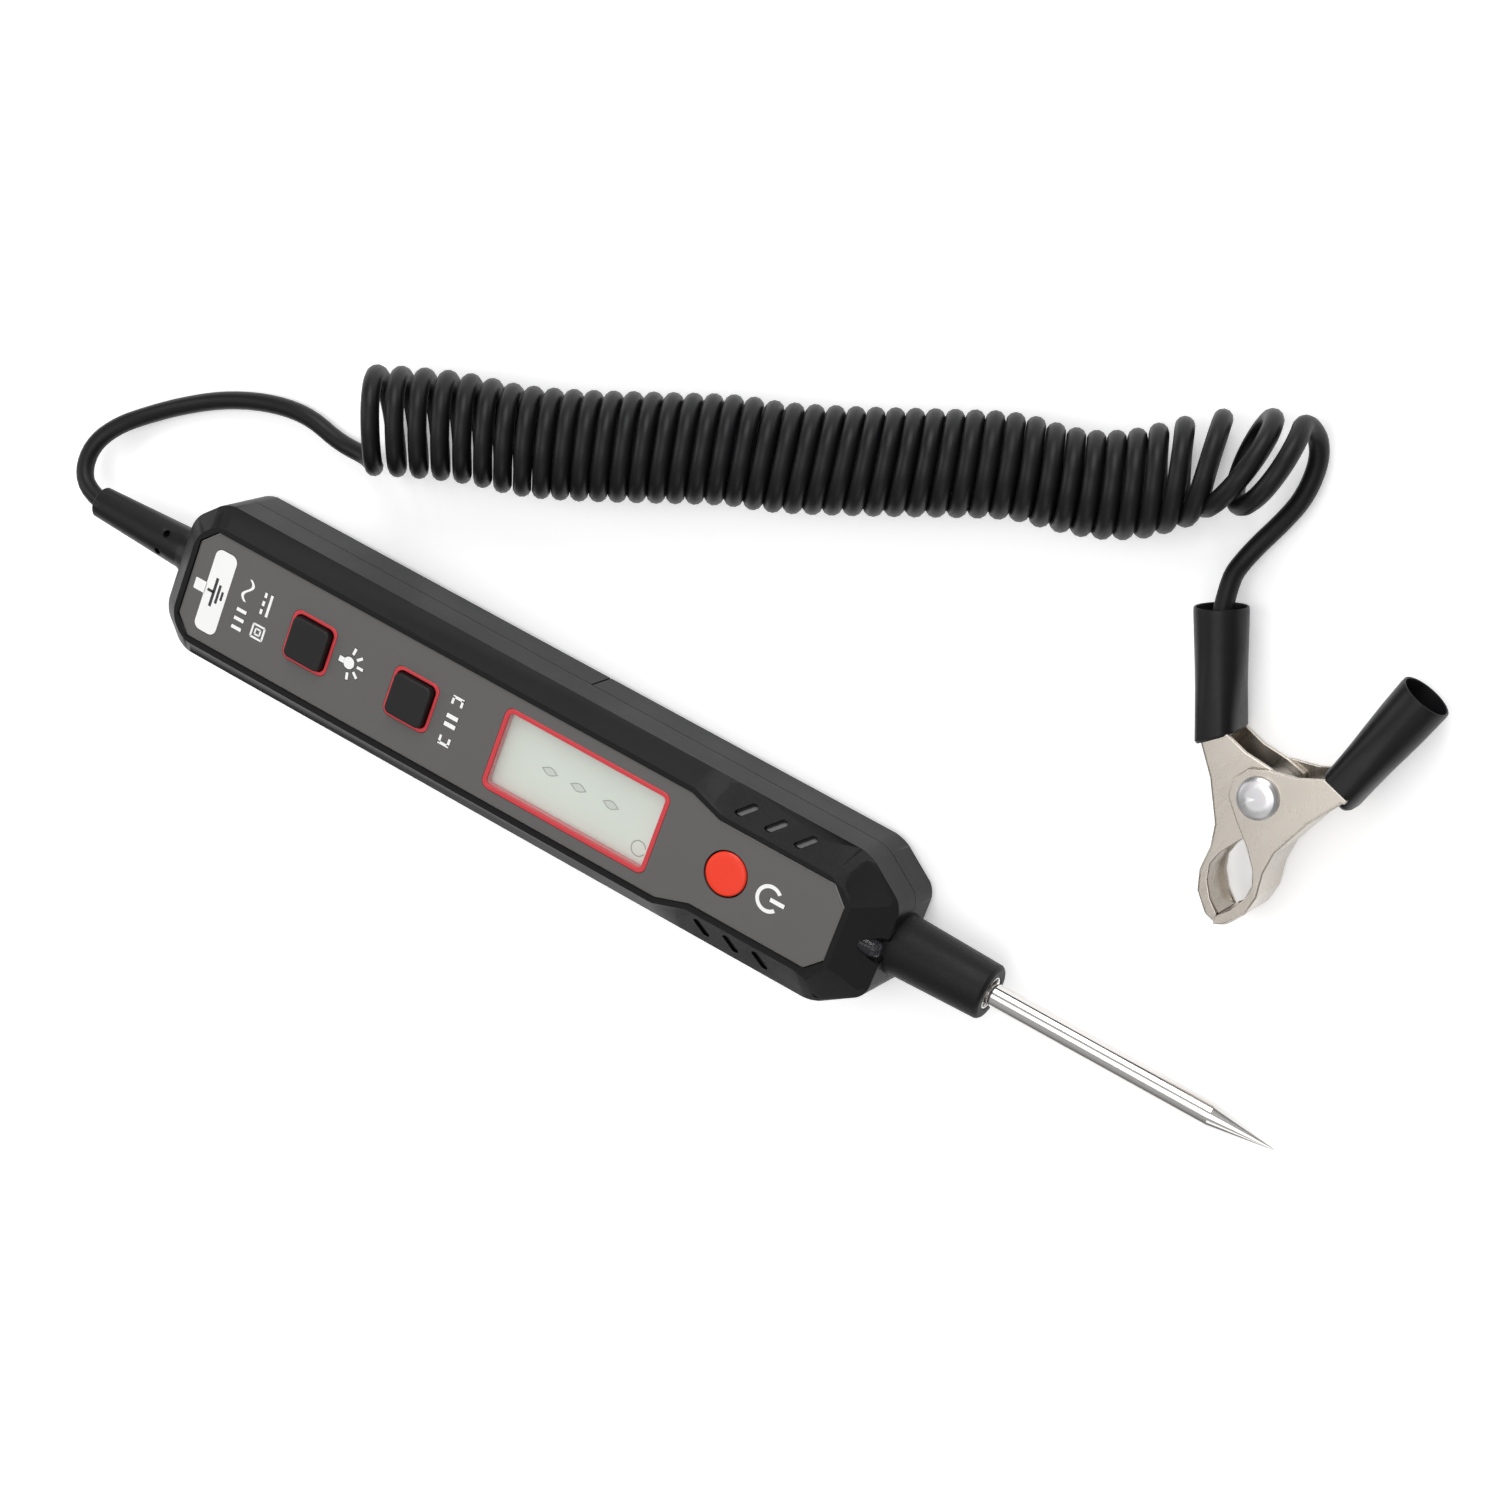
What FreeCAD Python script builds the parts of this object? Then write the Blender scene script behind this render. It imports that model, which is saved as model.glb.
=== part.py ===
import FreeCAD, Part
import math
import os
import Sketcher

# Pen-type circuit test light with a curly ground lead and a battery-clip style jaw.
# Millimetres. The tester lies on its back: +X runs along the pen to the needle's tip,
# +Z leaves the face panel, and the origin is on the back face, under the pen's axis.

doc = FreeCAD.newDocument("CircuitTestLight")
sheet = doc.addObject("Spreadsheet::Sheet", "Dims")
V = FreeCAD.Vector
UP = V(0, 0, 1)


class Size:
    """A length that knows both its value and the sheet expression that gives it."""

    def __init__(self, text, value):
        self.text = text
        self.value = float(value)

    def __add__(self, other):
        other = size(other)
        return Size(f"({self.text} + {other.text})", self.value + other.value)

    def __radd__(self, other):
        return size(other) + self

    def __sub__(self, other):
        other = size(other)
        return Size(f"({self.text} - {other.text})", self.value - other.value)

    def __rsub__(self, other):
        return size(other) - self

    def __mul__(self, other):
        other = size(other)
        return Size(f"({self.text} * {other.text})", self.value * other.value)

    __rmul__ = __mul__

    def __truediv__(self, other):
        other = size(other)
        return Size(f"({self.text} / {other.text})", self.value / other.value)

    def __neg__(self):
        return Size(f"(0 - {self.text})", -self.value)


def size(number):
    """A Size from a Size or a plain number."""
    if isinstance(number, Size):
        return number
    return Size(f"({number})", number)


sheet_row = 0


def dim(alias, value, note):
    """Put one driving dimension in the sheet and return it as a Size."""
    global sheet_row
    sheet_row += 1
    sheet.set(f"A{sheet_row}", note)
    sheet.set(f"B{sheet_row}", str(value))
    sheet.setAlias(f"B{sheet_row}", alias)
    return Size(f"Dims.{alias}", value)


# ---- driving dimensions ------------------------------------------------------------
half_wide = dim("half_wide", 13.6, "housing, half of its width")
rear_reach = dim("rear_reach", 69, "housing, origin to the cord end")
nose_reach = dim("nose_reach", 72, "housing, origin to the needle end")
thick = dim("thick", 18.2, "housing, back face to rim")
wall = dim("wall", 1.5, "housing wall")
seam = dim("seam", 8.2, "height of the seam, the cord and the needle axis")
bevel_drop = dim("bevel_drop", 3.7, "height of the bevel round the rim")
rim_half = dim("rim_half", 10.6, "rim, half width")
rim_reach = dim("rim_reach", 65.5, "rim, half length")
rear_cut = dim("rear_cut", 5.2, "corner cut at the cord end")
nose_cut_long = dim("nose_cut_long", 8.0, "corner cut at the nose, along X")
nose_cut_wide = dim("nose_cut_wide", 5.4, "corner cut at the nose, along Y")
rim_cut = dim("rim_cut", 3.2, "corner cut of the rim")
waist_from = dim("waist_from", 33.8, "where the panel starts to narrow")
waist_to = dim("waist_to", 39.8, "where the panel stops narrowing")
waist_step = dim("waist_step", 1.95, "how far each edge of the panel steps in")
back_cut = dim("back_cut", 1.7, "chamfer round the back face")
door_end = dim("door_end", 7, "where the battery door meets the back shell")
gap = dim("gap", 0.15, "gap between neighbouring mouldings")
deck_under = dim("deck_under", 16.2, "underside of the front shell's deck")
deck_top = dim("deck_top", 17.3, "floor of the panel recess")
panel_thick = dim("panel_thick", 0.6, "face panel thickness")
panel_half = dim("panel_half", 9.55, "face panel, half width")
panel_reach = dim("panel_reach", 64.4, "face panel, half length")
panel_cut = dim("panel_cut", 2.8, "face panel, corner cut")
window_from = dim("window_from", -0.7, "display window, cord-end edge")
window_to = dim("window_to", 29.9, "display window, needle-end edge")
window_half = dim("window_half", 6.5, "display window, half width")
frame_wide = dim("frame_wide", 0.85, "red frame round the display")
light_x = dim("light_x", -39.2, "light button centre")
hold_x = dim("hold_x", -18.3, "hold button centre")
power_x = dim("power_x", 43.9, "power button centre")
square_half = dim("square_half", 3.7, "square key, half side")
key_proud = dim("key_proud", 1.35, "square keys, height over the panel")
well_gap = dim("well_gap", 0.2, "gap between a square key and its well")
well_wide = dim("well_wide", 0.6, "wall of the red well round a square key")
well_round = dim("well_round", 1.5, "corner radius of the wells and the display frame")
power_r = dim("power_r", 3.65, "power button radius")
led_z = dim("led_z", 15.1, "torch LED, height of its axis")
slot_near = dim("slot_near", 9.5, "slots in the bevel, inner end")
slot_far = dim("slot_far", 12.1, "slots in the bevel, outer end")
slot_half = dim("slot_half", 0.85, "slots in the bevel, half width along X")
slot_deep = dim("slot_deep", 1.0, "slots in the bevel, depth")
slot_step = dim("slot_step", 5.6, "slots in the bevel, spacing")
button_travel = dim("button_travel", 0.6, "button travel")
board_under = dim("board_under", 12.95, "circuit board underside")
board_thick = dim("board_thick", 1.0, "circuit board thickness")
cell_r = dim("cell_r", 5.25, "battery cell radius")
cell_long = dim("cell_long", 43.7, "battery cell, without its button")
cell_y = dim("cell_y", 5.6, "battery cell, offset from the middle")
sleeve_long = dim("sleeve_long", 17, "nose sleeve, outside the housing")
sleeve_r = dim("sleeve_r", 5.3, "nose sleeve radius at the housing")
sleeve_end_r = dim("sleeve_end_r", 4.7, "nose sleeve radius at its end")
socket_r = dim("socket_r", 2.8, "probe socket, outer radius")
needle_r = dim("needle_r", 2.0, "needle radius")
needle_tip = dim("needle_tip", 139.8, "needle tip, from the origin")
needle_point = dim("needle_point", 11, "length of the ground point")
relief_long = dim("relief_long", 22, "strain relief, outside the housing")
relief_r = dim("relief_r", 3.75, "strain relief radius at the housing")
relief_end_r = dim("relief_end_r", 2.75, "strain relief radius at its end")
cord_r = dim("cord_r", 1.55, "cord radius")
coil_r = dim("coil_r", 8.25, "curly cord, outer radius of its turns")
clip_x = dim("clip_x", 116.5, "clip rivet, X")
clip_y = dim("clip_y", 50.3, "clip rivet, Y")
clip_turn = dim("clip_turn", 3, "clip, turn about its rivet in degrees")
clip_lift = dim("clip_lift", 0.6, "clip, height of its lower face over the floor")
clip_tall = dim("clip_tall", 11, "clip, depth of the outer jaw's channel")
clip_metal = dim("clip_metal", 0.9, "clip, sheet thickness")
clip_gap = dim("clip_gap", 0.1, "clip, side play between the nested jaws")
rivet_r = dim("rivet_r", 1.8, "clip rivet, shank radius")
rivet_head = dim("rivet_head", 3.3, "clip rivet, head radius")
handle_lean = dim("handle_lean", 20.3, "clip handles, lean from the middle in degrees")
boot_long = dim("boot_long", 18.5, "clip boot length")
boot_r = dim("boot_r", 4.2, "clip boot, radius at its end")
doc.recompute()

front_top = deck_top + panel_thick


# ---- helpers -----------------------------------------------------------------------
def bind(thing, prop, value):
    """Set a property, and tie it to the sheet where the value comes from there."""
    value = size(value)
    if prop.startswith("Placement") or prop.startswith("AttachmentOffset"):
        thing.setExpression(prop, value.text)
        return
    setattr(thing, prop, value.value)
    thing.setExpression(prop, value.text)


def move(thing, x=0, y=0, z=0, axis=None, angle=0):
    """Place an object: a fixed turn first, then a position tied to the sheet."""
    if axis is not None:
        thing.Placement = FreeCAD.Placement(V(0, 0, 0), FreeCAD.Rotation(V(*axis), angle))
    return move_only(thing, x, y, z)


def move_only(thing, x, y, z):
    """Tie an object's position to the sheet and keep its turn."""
    for letter, value in (("x", x), ("y", y), ("z", z)):
        bind(thing, f"Placement.Base.{letter}", value)
    return thing


def origin_feature(body, role):
    """One of a body's own origin planes or axes."""
    return [f for f in body.Origin.OriginFeatures if f.Role == role][0]


def flat_sketch(body, name, plane, offset=0):
    """An empty sketch on one of the body's origin planes, lifted off it by offset."""
    sketch = body.newObject("Sketcher::SketchObject", name)
    sketch.AttachmentSupport = [(origin_feature(body, plane), "")]
    sketch.MapMode = "FlatFace"
    bind(sketch, "AttachmentOffset.Base.z", offset)
    return sketch


def draw_outline(sketch, points, first=0):
    """Draw a closed outline whose corners are tied to the sheet, after first other lines."""
    corners = [(size(x), size(y)) for x, y in points]
    count = len(corners)
    for i in range(count):
        (x0, y0), (x1, y1) = corners[i], corners[(i + 1) % count]
        sketch.addGeometry(Part.LineSegment(V(x0.value, y0.value, 0), V(x1.value, y1.value, 0)), False)
    for i in range(count):
        sketch.addConstraint(Sketcher.Constraint("Coincident", first + i, 2, first + (i + 1) % count, 1))
    for i, corner in enumerate(corners):
        for kind, value in zip(("DistanceX", "DistanceY"), corner):
            k = sketch.addConstraint(Sketcher.Constraint(kind, -1, 1, first + i, 1, value.value))
            sketch.setExpression(f"Constraints[{k}]", value.text)


def draw_circle(sketch, x, y, r):
    """Draw a circle whose centre and radius are tied to the sheet."""
    x, y, r = size(x), size(y), size(r)
    i = sketch.addGeometry(Part.Circle(V(x.value, y.value, 0), UP, r.value), False)
    for kind, value in (("DistanceX", x), ("DistanceY", y)):
        k = sketch.addConstraint(Sketcher.Constraint(kind, -1, 1, i, 3, value.value))
        sketch.setExpression(f"Constraints[{k}]", value.text)
    k = sketch.addConstraint(Sketcher.Constraint("Radius", i, r.value))
    sketch.setExpression(f"Constraints[{k}]", r.text)


def prism(name, outlines, low, high, circles=()):
    """A body padded from low to high from closed outlines; the inner ones are holes."""
    body = doc.addObject("PartDesign::Body", name)
    sketch = flat_sketch(body, name + "_sketch", "XY_Plane", low)
    first = 0
    for points in outlines if isinstance(outlines[0], list) else [outlines]:
        draw_outline(sketch, points, first)
        first += len(points)
    for x, y, r in circles:
        draw_circle(sketch, x, y, r)
    pad = body.newObject("PartDesign::Pad", name + "_pad")
    pad.Profile = sketch
    bind(pad, "Length", high - size(low))
    return body


def loft(name, lower, low, upper, high):
    """A body lofted with flat sides between two outlines of as many corners."""
    body = doc.addObject("PartDesign::Body", name)
    sketches = []
    for tag, points, level in (("low", lower, low), ("high", upper, high)):
        sketch = flat_sketch(body, f"{name}_{tag}", "XY_Plane", level)
        draw_outline(sketch, points)
        sketches.append(sketch)
    feature = body.newObject("PartDesign::AdditiveLoft", name + "_loft")
    feature.Profile = sketches[0]
    feature.Sections = [sketches[1]]
    feature.Ruled = True
    return body


def turned(name, profile, role="X_Axis", plane="XZ_Plane"):
    """A body of revolution: profile points are (along the axis, radius)."""
    body = doc.addObject("PartDesign::Body", name)
    sketch = flat_sketch(body, name + "_profile", plane)
    points = profile if role == "X_Axis" else [(r, a) for a, r in profile]
    draw_outline(sketch, points)
    feature = body.newObject("PartDesign::Revolution", name + "_turn")
    feature.Profile = sketch
    feature.ReferenceAxis = (origin_feature(body, role), [""])
    feature.Angle = 360
    return body


def box(name, x, y, z):
    """A Part::Box given as (low, high) pairs."""
    solid = doc.addObject("Part::Box", name)
    for prop, (low, high) in (("Length", x), ("Width", y), ("Height", z)):
        bind(solid, prop, size(high) - low)
    return move(solid, x[0], y[0], z[0])


def rod(name, r, length, x=0, y=0, z=0, along="Z"):
    """A Part::Cylinder whose axis starts at (x, y, z) and runs along Z, X or Y."""
    solid = doc.addObject("Part::Cylinder", name)
    bind(solid, "Radius", r)
    bind(solid, "Height", length)
    turn = {"Z": (None, 0), "X": ((0, 1, 0), 90), "Y": ((1, 0, 0), -90)}[along]
    return move(solid, x, y, z, *turn)


def join(name, *things):
    """One object that fuses several."""
    fused = doc.addObject("Part::MultiFuse", name)
    fused.Shapes = list(things)
    return fused


def group(name, *things):
    """One object that holds several separate solids."""
    held = doc.addObject("Part::Compound", name)
    held.Links = list(things)
    return held


def cut(name, base, *tools):
    """A base with one or more tools cut away."""
    result = doc.addObject("Part::Cut", name)
    result.Base = base
    result.Tool = tools[0] if len(tools) == 1 else join(name + "_tools", *tools)
    return result


def common(name, *things):
    """The space that all the things share."""
    shared = doc.addObject("Part::MultiCommon", name)
    shared.Shapes = list(things)
    return shared


def rounded(body, radius, wanted):
    """Round the edges of a body that pass the test, and keep the radius on the sheet."""
    doc.recompute()
    tip = body.Tip
    names = [f"Edge{i + 1}" for i, e in enumerate(tip.Shape.Edges) if wanted(e)]
    feature = body.newObject("PartDesign::Fillet", body.Name + "_round")
    feature.Base = (tip, names)
    bind(feature, "Radius", radius)
    body.Tip = feature
    return body


def upright(edge):
    """True for a straight vertical edge."""
    return len(edge.Vertexes) == 2 and abs(edge.tangentAt(edge.FirstParameter).z) > 0.99


def upright_at(half):
    """A test for vertical edges at one distance from the X axis."""
    def test(edge):
        return upright(edge) and abs(abs(edge.Vertexes[0].Y) - size(half).value) < 0.01
    return test


def level_at(height):
    """A test for edges that lie flat at one height."""
    def test(edge):
        box_ = edge.BoundBox
        return box_.ZLength < 1e-4 and abs(box_.ZMin - size(height).value) < 1e-4
    return test


parts = {}


def part(label, thing):
    """Keep a finished sub-part under the name that its file gets."""
    thing.Label = label
    parts[label] = thing
    return thing


# ---- housing outlines --------------------------------------------------------------
def housing_outline(inset=0):
    """The housing seen from above, the same number of corners at every height."""
    side = half_wide - inset
    back = -(rear_reach - inset)
    front = nose_reach - inset
    return [
        (back, -(side - rear_cut)), (back + rear_cut, -side),
        (waist_from, -side), (waist_to, -side),
        (front - nose_cut_long, -side), (front, -(side - nose_cut_wide)),
        (front, side - nose_cut_wide), (front - nose_cut_long, side),
        (waist_to, side), (waist_from, side),
        (back + rear_cut, side), (back, side - rear_cut),
    ]


def waisted_outline(reach, side, corner, step=waist_step):
    """The rim, the panel and their recess: octagonal, and narrower near the nose."""
    slim = side - step
    return [
        (-reach, -(side - corner)), (-(reach - corner), -side),
        (waist_from, -side), (waist_to, -slim),
        (reach - corner, -slim), (reach, -(slim - corner)),
        (reach, slim - corner), (reach - corner, slim),
        (waist_to, slim), (waist_from, side),
        (-(reach - corner), side), (-reach, side - corner),
    ]


def rectangle(x0, x1, half):
    """A rectangle that is symmetric about the X axis."""
    return [(x0, -half), (x1, -half), (x1, half), (x0, half)]


def square_hole(x, half):
    """A square about (x, 0)."""
    return rectangle(x - half, x + half, half)


# ---- front shell -------------------------------------------------------------------
bevel_foot = thick - bevel_drop
skirt = prism("front_skirt", housing_outline(), seam + gap / 2, bevel_foot)
bevel = loft("front_bevel", housing_outline(), bevel_foot,
             waisted_outline(rim_reach, rim_half, rim_cut), thick)

cavity_foot = seam - 1
cavity_low = prism("front_cavity_low", housing_outline(wall), cavity_foot, bevel_foot - 1)
cavity_high = loft("front_cavity_high", housing_outline(wall), bevel_foot - 1,
                   waisted_outline(rim_reach - 2, rim_half - 0.3, rim_cut), deck_under)
panel_recess = prism("panel_recess",
                     waisted_outline(panel_reach + gap, panel_half + gap, panel_cut),
                     deck_top, thick + 1)
window_hole = prism("window_hole",
                    rectangle(window_from - frame_wide, window_to + frame_wide, window_half + frame_wide),
                    deck_under - 1, deck_top + 1)
rounded(window_hole, well_round, upright)
well_half = square_half + well_gap + well_wide
well_holes = [prism(name, square_hole(x, well_half + gap / 2), deck_under - 1, deck_top + 1)
              for name, x in (("light_hole", light_x), ("hold_hole", hold_x))]
for well_hole in well_holes:
    rounded(well_hole, well_round, upright)
power_hole = rod("power_hole", power_r + 0.3, 4, power_x, 0, deck_under - 1)


def slot_outline(x, side):
    """A slot seen from above: slanted outwards and forwards at 45 degrees."""
    slant = slot_far - slot_near
    points = [(x - slot_half, side * slot_near), (x + slot_half, side * slot_near),
              (x + slot_half + slant, side * slot_far), (x - slot_half + slant, side * slot_far)]
    return points if side > 0 else points[::-1]


def bevel_floor(side):
    """The bevel's surface near the nose, sunk by the slots' depth."""
    slim = rim_half - waist_step
    body = doc.addObject("PartDesign::Body", f"slot_floor_{'left' if side > 0 else 'right'}")
    sketch = flat_sketch(body, body.Name + "_sketch", "YZ_Plane", waist_to)
    points = [(side * slim, thick - slot_deep), (side * half_wide, bevel_foot - slot_deep),
              (side * half_wide, thick + 2), (side * slim, thick + 2)]
    draw_outline(sketch, points if side > 0 else points[::-1])
    pad = body.newObject("PartDesign::Pad", body.Name + "_pad")
    pad.Profile = sketch
    bind(pad, "Length", 20)
    return body


slots = []
for side, word in ((1, "left"), (-1, "right")):
    floor = bevel_floor(side)
    columns = []
    for k in range(3):
        x = waist_to + 1.7 + slot_step * k
        column = prism(f"slot_{word}_{k}", slot_outline(x, side), bevel_foot - 2, thick + 1)
        columns.append(rounded(column, 0.45, upright))
    slots.append(common(f"slots_{word}", join(f"slot_columns_{word}", *columns), floor))

led_hole = rod("led_hole", 1.6, 8, nose_reach - 7, 0, led_z, "X")
scoop = doc.addObject("Part::Cone", "led_scoop")
bind(scoop, "Radius1", 1.7)
bind(scoop, "Radius2", 3.4)
bind(scoop, "Height", 4)
move(scoop, nose_reach - 2.0, 0, led_z, (0, 1, 0), 84)

led_seat = rod("led_seat", 1.9, 4.6, nose_reach - 9.5, 0, led_z, "X")
neck_in = nose_reach - wall - 3
flange_seat = rod("flange_seat", 6.35, 1.6, nose_reach - wall - 1.55, 0, seam, "X")
sleeve_bore = rod("sleeve_bore", sleeve_r + 0.05, 8, neck_in, 0, seam, "X")
relief_bore = rod("relief_bore", relief_r + 0.05, 6, -(rear_reach + 1), 0, seam, "X")
boss_places = [(waist_to - 3.3, 7.4), (waist_to - 3.3, -7.4),
               (nose_reach - 11.5, 7.2), (nose_reach - 11.5, -7.2)]
door_boss_x = -(rear_reach - 12)
boss_r = 2.2
screw_r = 1.1

shell_block = join("front_block", skirt, bevel)
hollow = cut("front_hollow", shell_block, cavity_low, cavity_high, panel_recess, window_hole,
             power_hole, led_hole, led_seat, scoop, flange_seat, sleeve_bore, relief_bore, *well_holes, *slots)
bosses = [rod(f"boss_{i}", boss_r, deck_under - seam, x, y, seam + 0.3)
          for i, (x, y) in enumerate(boss_places + [(door_boss_x, 0)])]
boss_bores = [rod(f"boss_bore_{i}", screw_r + 0.05, 5.5, x, y, seam)
              for i, (x, y) in enumerate(boss_places + [(door_boss_x, 0)])]
front_raw = join("front_with_bosses", hollow, *bosses)
part("front_shell", cut("front_shell_cut", front_raw, *boss_bores))


# ---- back shell and battery door ---------------------------------------------------
def back_half(name, rear, nose):
    """Half of the back: a chamfered tray with the housing's outline."""
    top = seam - gap / 2
    outer = prism(name + "_outer", housing_outline(), back_cut, top)
    foot = loft(name + "_foot", housing_outline(back_cut), 0, housing_outline(), back_cut)
    inner = prism(name + "_inner", housing_outline(wall), wall, seam + 1)
    span = box(name + "_span", (rear, nose), (-(half_wide + 1), half_wide + 1), (-1, seam + 1))
    tray = cut(name + "_tray", join(name + "_block", outer, foot), inner)
    return common(name + "_piece", tray, span)


cell_z = wall + cell_r + 0.1
tray_rear = -48.5
tray_nose = 5.6
back_tray = back_half("back_nose", door_end, nose_reach + 1)
inside_half = half_wide - wall - 0.02
end_wall = box("back_end_wall", (door_end, door_end + wall), (-inside_half, inside_half),
               (wall, seam - gap / 2))
tray_out = box("cell_tray_outer", (tray_rear, tray_nose), (-11.8, 11.8), (2.5, board_under - 0.1))
tray_in = box("cell_tray_inner", (tray_rear + 0.8, tray_nose - 0.8), (-11.0, 11.0), (1.5, board_under - 0.7))
tray_link = box("cell_tray_link", (tray_nose - 0.4, door_end + 0.4), (-9, 9), (5.4, 7.6))
tray_wires = [box(f"cell_tray_notch_{i}", (tray_rear - 1, tray_rear + 2), (y - 1, y + 1), (10.5, 13))
              for i, y in enumerate((-9, 9))]
screw_wells = []
screw_posts = []
for i, (x, y) in enumerate(boss_places):
    screw_posts.append(rod(f"screw_post_{i}", 2.9, seam - gap / 2, x, y, 0))
    screw_wells.append(rod(f"screw_well_{i}", 2.2, 2.2, x, y, -0.1))
    screw_wells.append(rod(f"screw_pass_{i}", screw_r + 0.15, 12, x, y, -0.1))
post_trim = prism("post_trim", housing_outline(wall / 2), 0.4, seam - gap / 2)
posts = common("screw_posts", join("screw_posts_all", *screw_posts), post_trim)
cell_tray = cut("cell_tray", tray_out, tray_in, *tray_wires)
back_raw = join("back_raw", back_tray, end_wall, cell_tray, tray_link, posts)
part("back_shell", cut("back_shell_cut", back_raw, sleeve_bore, *screw_wells))

door_tray = back_half("door", -(rear_reach + 1), door_end - gap * 2)
door_post = rod("door_post", 2.9, seam - gap / 2 - 0.4, door_boss_x, 0, 0.4)
door_well = rod("door_well", 2.2, 2.2, door_boss_x, 0, -0.1)
door_pass = rod("door_pass", screw_r + 0.15, 12, door_boss_x, 0, -0.1)
grip_ribs = [box(f"door_rib_{i}", (-30 + 3.2 * i, -28.6 + 3.2 * i), (-6, 6), (-0.1, 0.5)) for i in range(5)]
part("battery_door", cut("battery_door_cut", join("door_raw", door_tray, door_post),
                         door_well, door_pass, relief_bore, *grip_ribs))


# ---- screws ------------------------------------------------------------------------
def screw(name, x, y, length):
    """A pan-head screw driven up from the back, with a cross recess in its head."""
    body = turned(name + "_turned", [(0.3, 0.02), (0.3, 1.6), (0.7, 2.05), (1.9, 2.05), (1.9, screw_r),
                                     (length - 0.8, screw_r), (length, 0.3), (length, 0.02)], "Z_Axis")
    slot_a = box(name + "_cross_a", (-1.3, 1.3), (-0.22, 0.22), (0, 1.1))
    slot_b = box(name + "_cross_b", (-0.22, 0.22), (-1.3, 1.3), (0, 1.1))
    whole = cut(name, body, slot_a, slot_b)
    return move(whole, x, y, 0)


screw_long = 12.5
screws = [screw(f"housing_screw_{i}", x, y, screw_long) for i, (x, y) in enumerate(boss_places)]
part("housing_screws", group("housing_screw_group", *screws))
part("door_screw", screw("door_screw_solid", door_boss_x, 0, screw_long))

# ---- face panel and display --------------------------------------------------------
frame_half = window_half + frame_wide
panel_plate = prism("panel_plate", [waisted_outline(panel_reach, panel_half, panel_cut),
                                    rectangle(window_from - frame_wide - 0.05, window_to + frame_wide + 0.05,
                                              frame_half + 0.05),
                                    square_hole(light_x, well_half + 0.05),
                                    square_hole(hold_x, well_half + 0.05)],
                    deck_top, front_top, circles=[(power_x, 0, power_r + 0.3)])
rounded(panel_plate, well_round, upright_at(frame_half + 0.05))
rounded(panel_plate, well_round, upright_at(well_half + 0.05))
part("face_panel", panel_plate)

display_frame = prism("display_frame_body",
                      [rectangle(window_from - frame_wide, window_to + frame_wide, frame_half),
                       rectangle(window_from, window_to, window_half)], deck_under + 0.1, front_top + 0.1)
rounded(display_frame, well_round, upright_at(frame_half))
rounded(display_frame, well_round / 2, upright_at(window_half))
part("display_frame", display_frame)

lens = prism("display_lens_body", rectangle(window_from + 0.05, window_to - 0.05, window_half - 0.05),
             deck_top - 0.1, front_top - 0.1)
rounded(lens, well_round / 2, upright)
part("display_lens", lens)
glass_half = 9.5
glass_under = deck_under - 1.15
part("display_glass", box("display_glass_box", (window_from - 1.5, window_to + 1.5), (-glass_half, glass_half),
                          (glass_under, deck_under - 0.05)))
board_top = board_under + board_thick
part("display_backlight", box("display_backlight_box", (window_from - 1.2, window_to + 1.2), (-8.4, 8.4),
                              (board_top, glass_under)))
part("contact_strips", group("contact_strip_pair", *[
    box(f"contact_strip_{i}", (window_from + 1, window_to - 1), (y - 0.4, y + 0.4), (board_top, glass_under))
    for i, y in enumerate((-8.95, 8.95))]))

# ---- buttons -----------------------------------------------------------------------
cap_under = deck_under + 0.4
stem_foot = cap_under - 0.7
for word, x in (("light", light_x), ("hold", hold_x)):
    well_in = square_half + well_gap
    well = prism(f"{word}_well_body", [square_hole(x, well_half), square_hole(x, well_in)],
                 deck_under + 0.1, front_top + 0.1)
    rounded(well, well_round, upright_at(well_half))
    rounded(well, well_round - 0.3, upright_at(well_in))
    part(f"{word}_button_well", well)
    cap = prism(f"{word}_cap", square_hole(x, square_half), cap_under, front_top + key_proud)
    rounded(cap, well_round - 0.4, upright)
    rounded(cap, 0.4, level_at(front_top + key_proud))
    stem = rod(f"{word}_stem", 1.6, 0.8, x, 0, stem_foot)
    part(f"{word}_button", join(f"{word}_button_solid", cap, stem))

power_cap = turned("power_cap", [(stem_foot, 0.02), (stem_foot, 1.6), (cap_under, 1.6), (cap_under, power_r),
                                 (front_top - 0.1, power_r), (front_top + 0.1, power_r - 0.25),
                                 (front_top + 0.15, power_r - 1), (front_top + 0.15, 0.02)], "Z_Axis")
part("power_button", move(power_cap, power_x, 0, 0))

for word, x in (("light", light_x), ("hold", hold_x), ("power", power_x)):
    base = box(f"{word}_switch_block", (x - 3, x + 3), (-3, 3), (board_top, board_top + 1.2))
    bore = rod(f"{word}_switch_bore", 1.5, 3, x, 0, board_top + 0.3)
    part(f"{word}_switch", cut(f"{word}_switch_body", base, bore))
    plunger_low = board_top + 1.05
    part(f"{word}_plunger", rod(f"{word}_plunger_pin", 1.4, stem_foot - plunger_low, x, 0, plunger_low))

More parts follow.
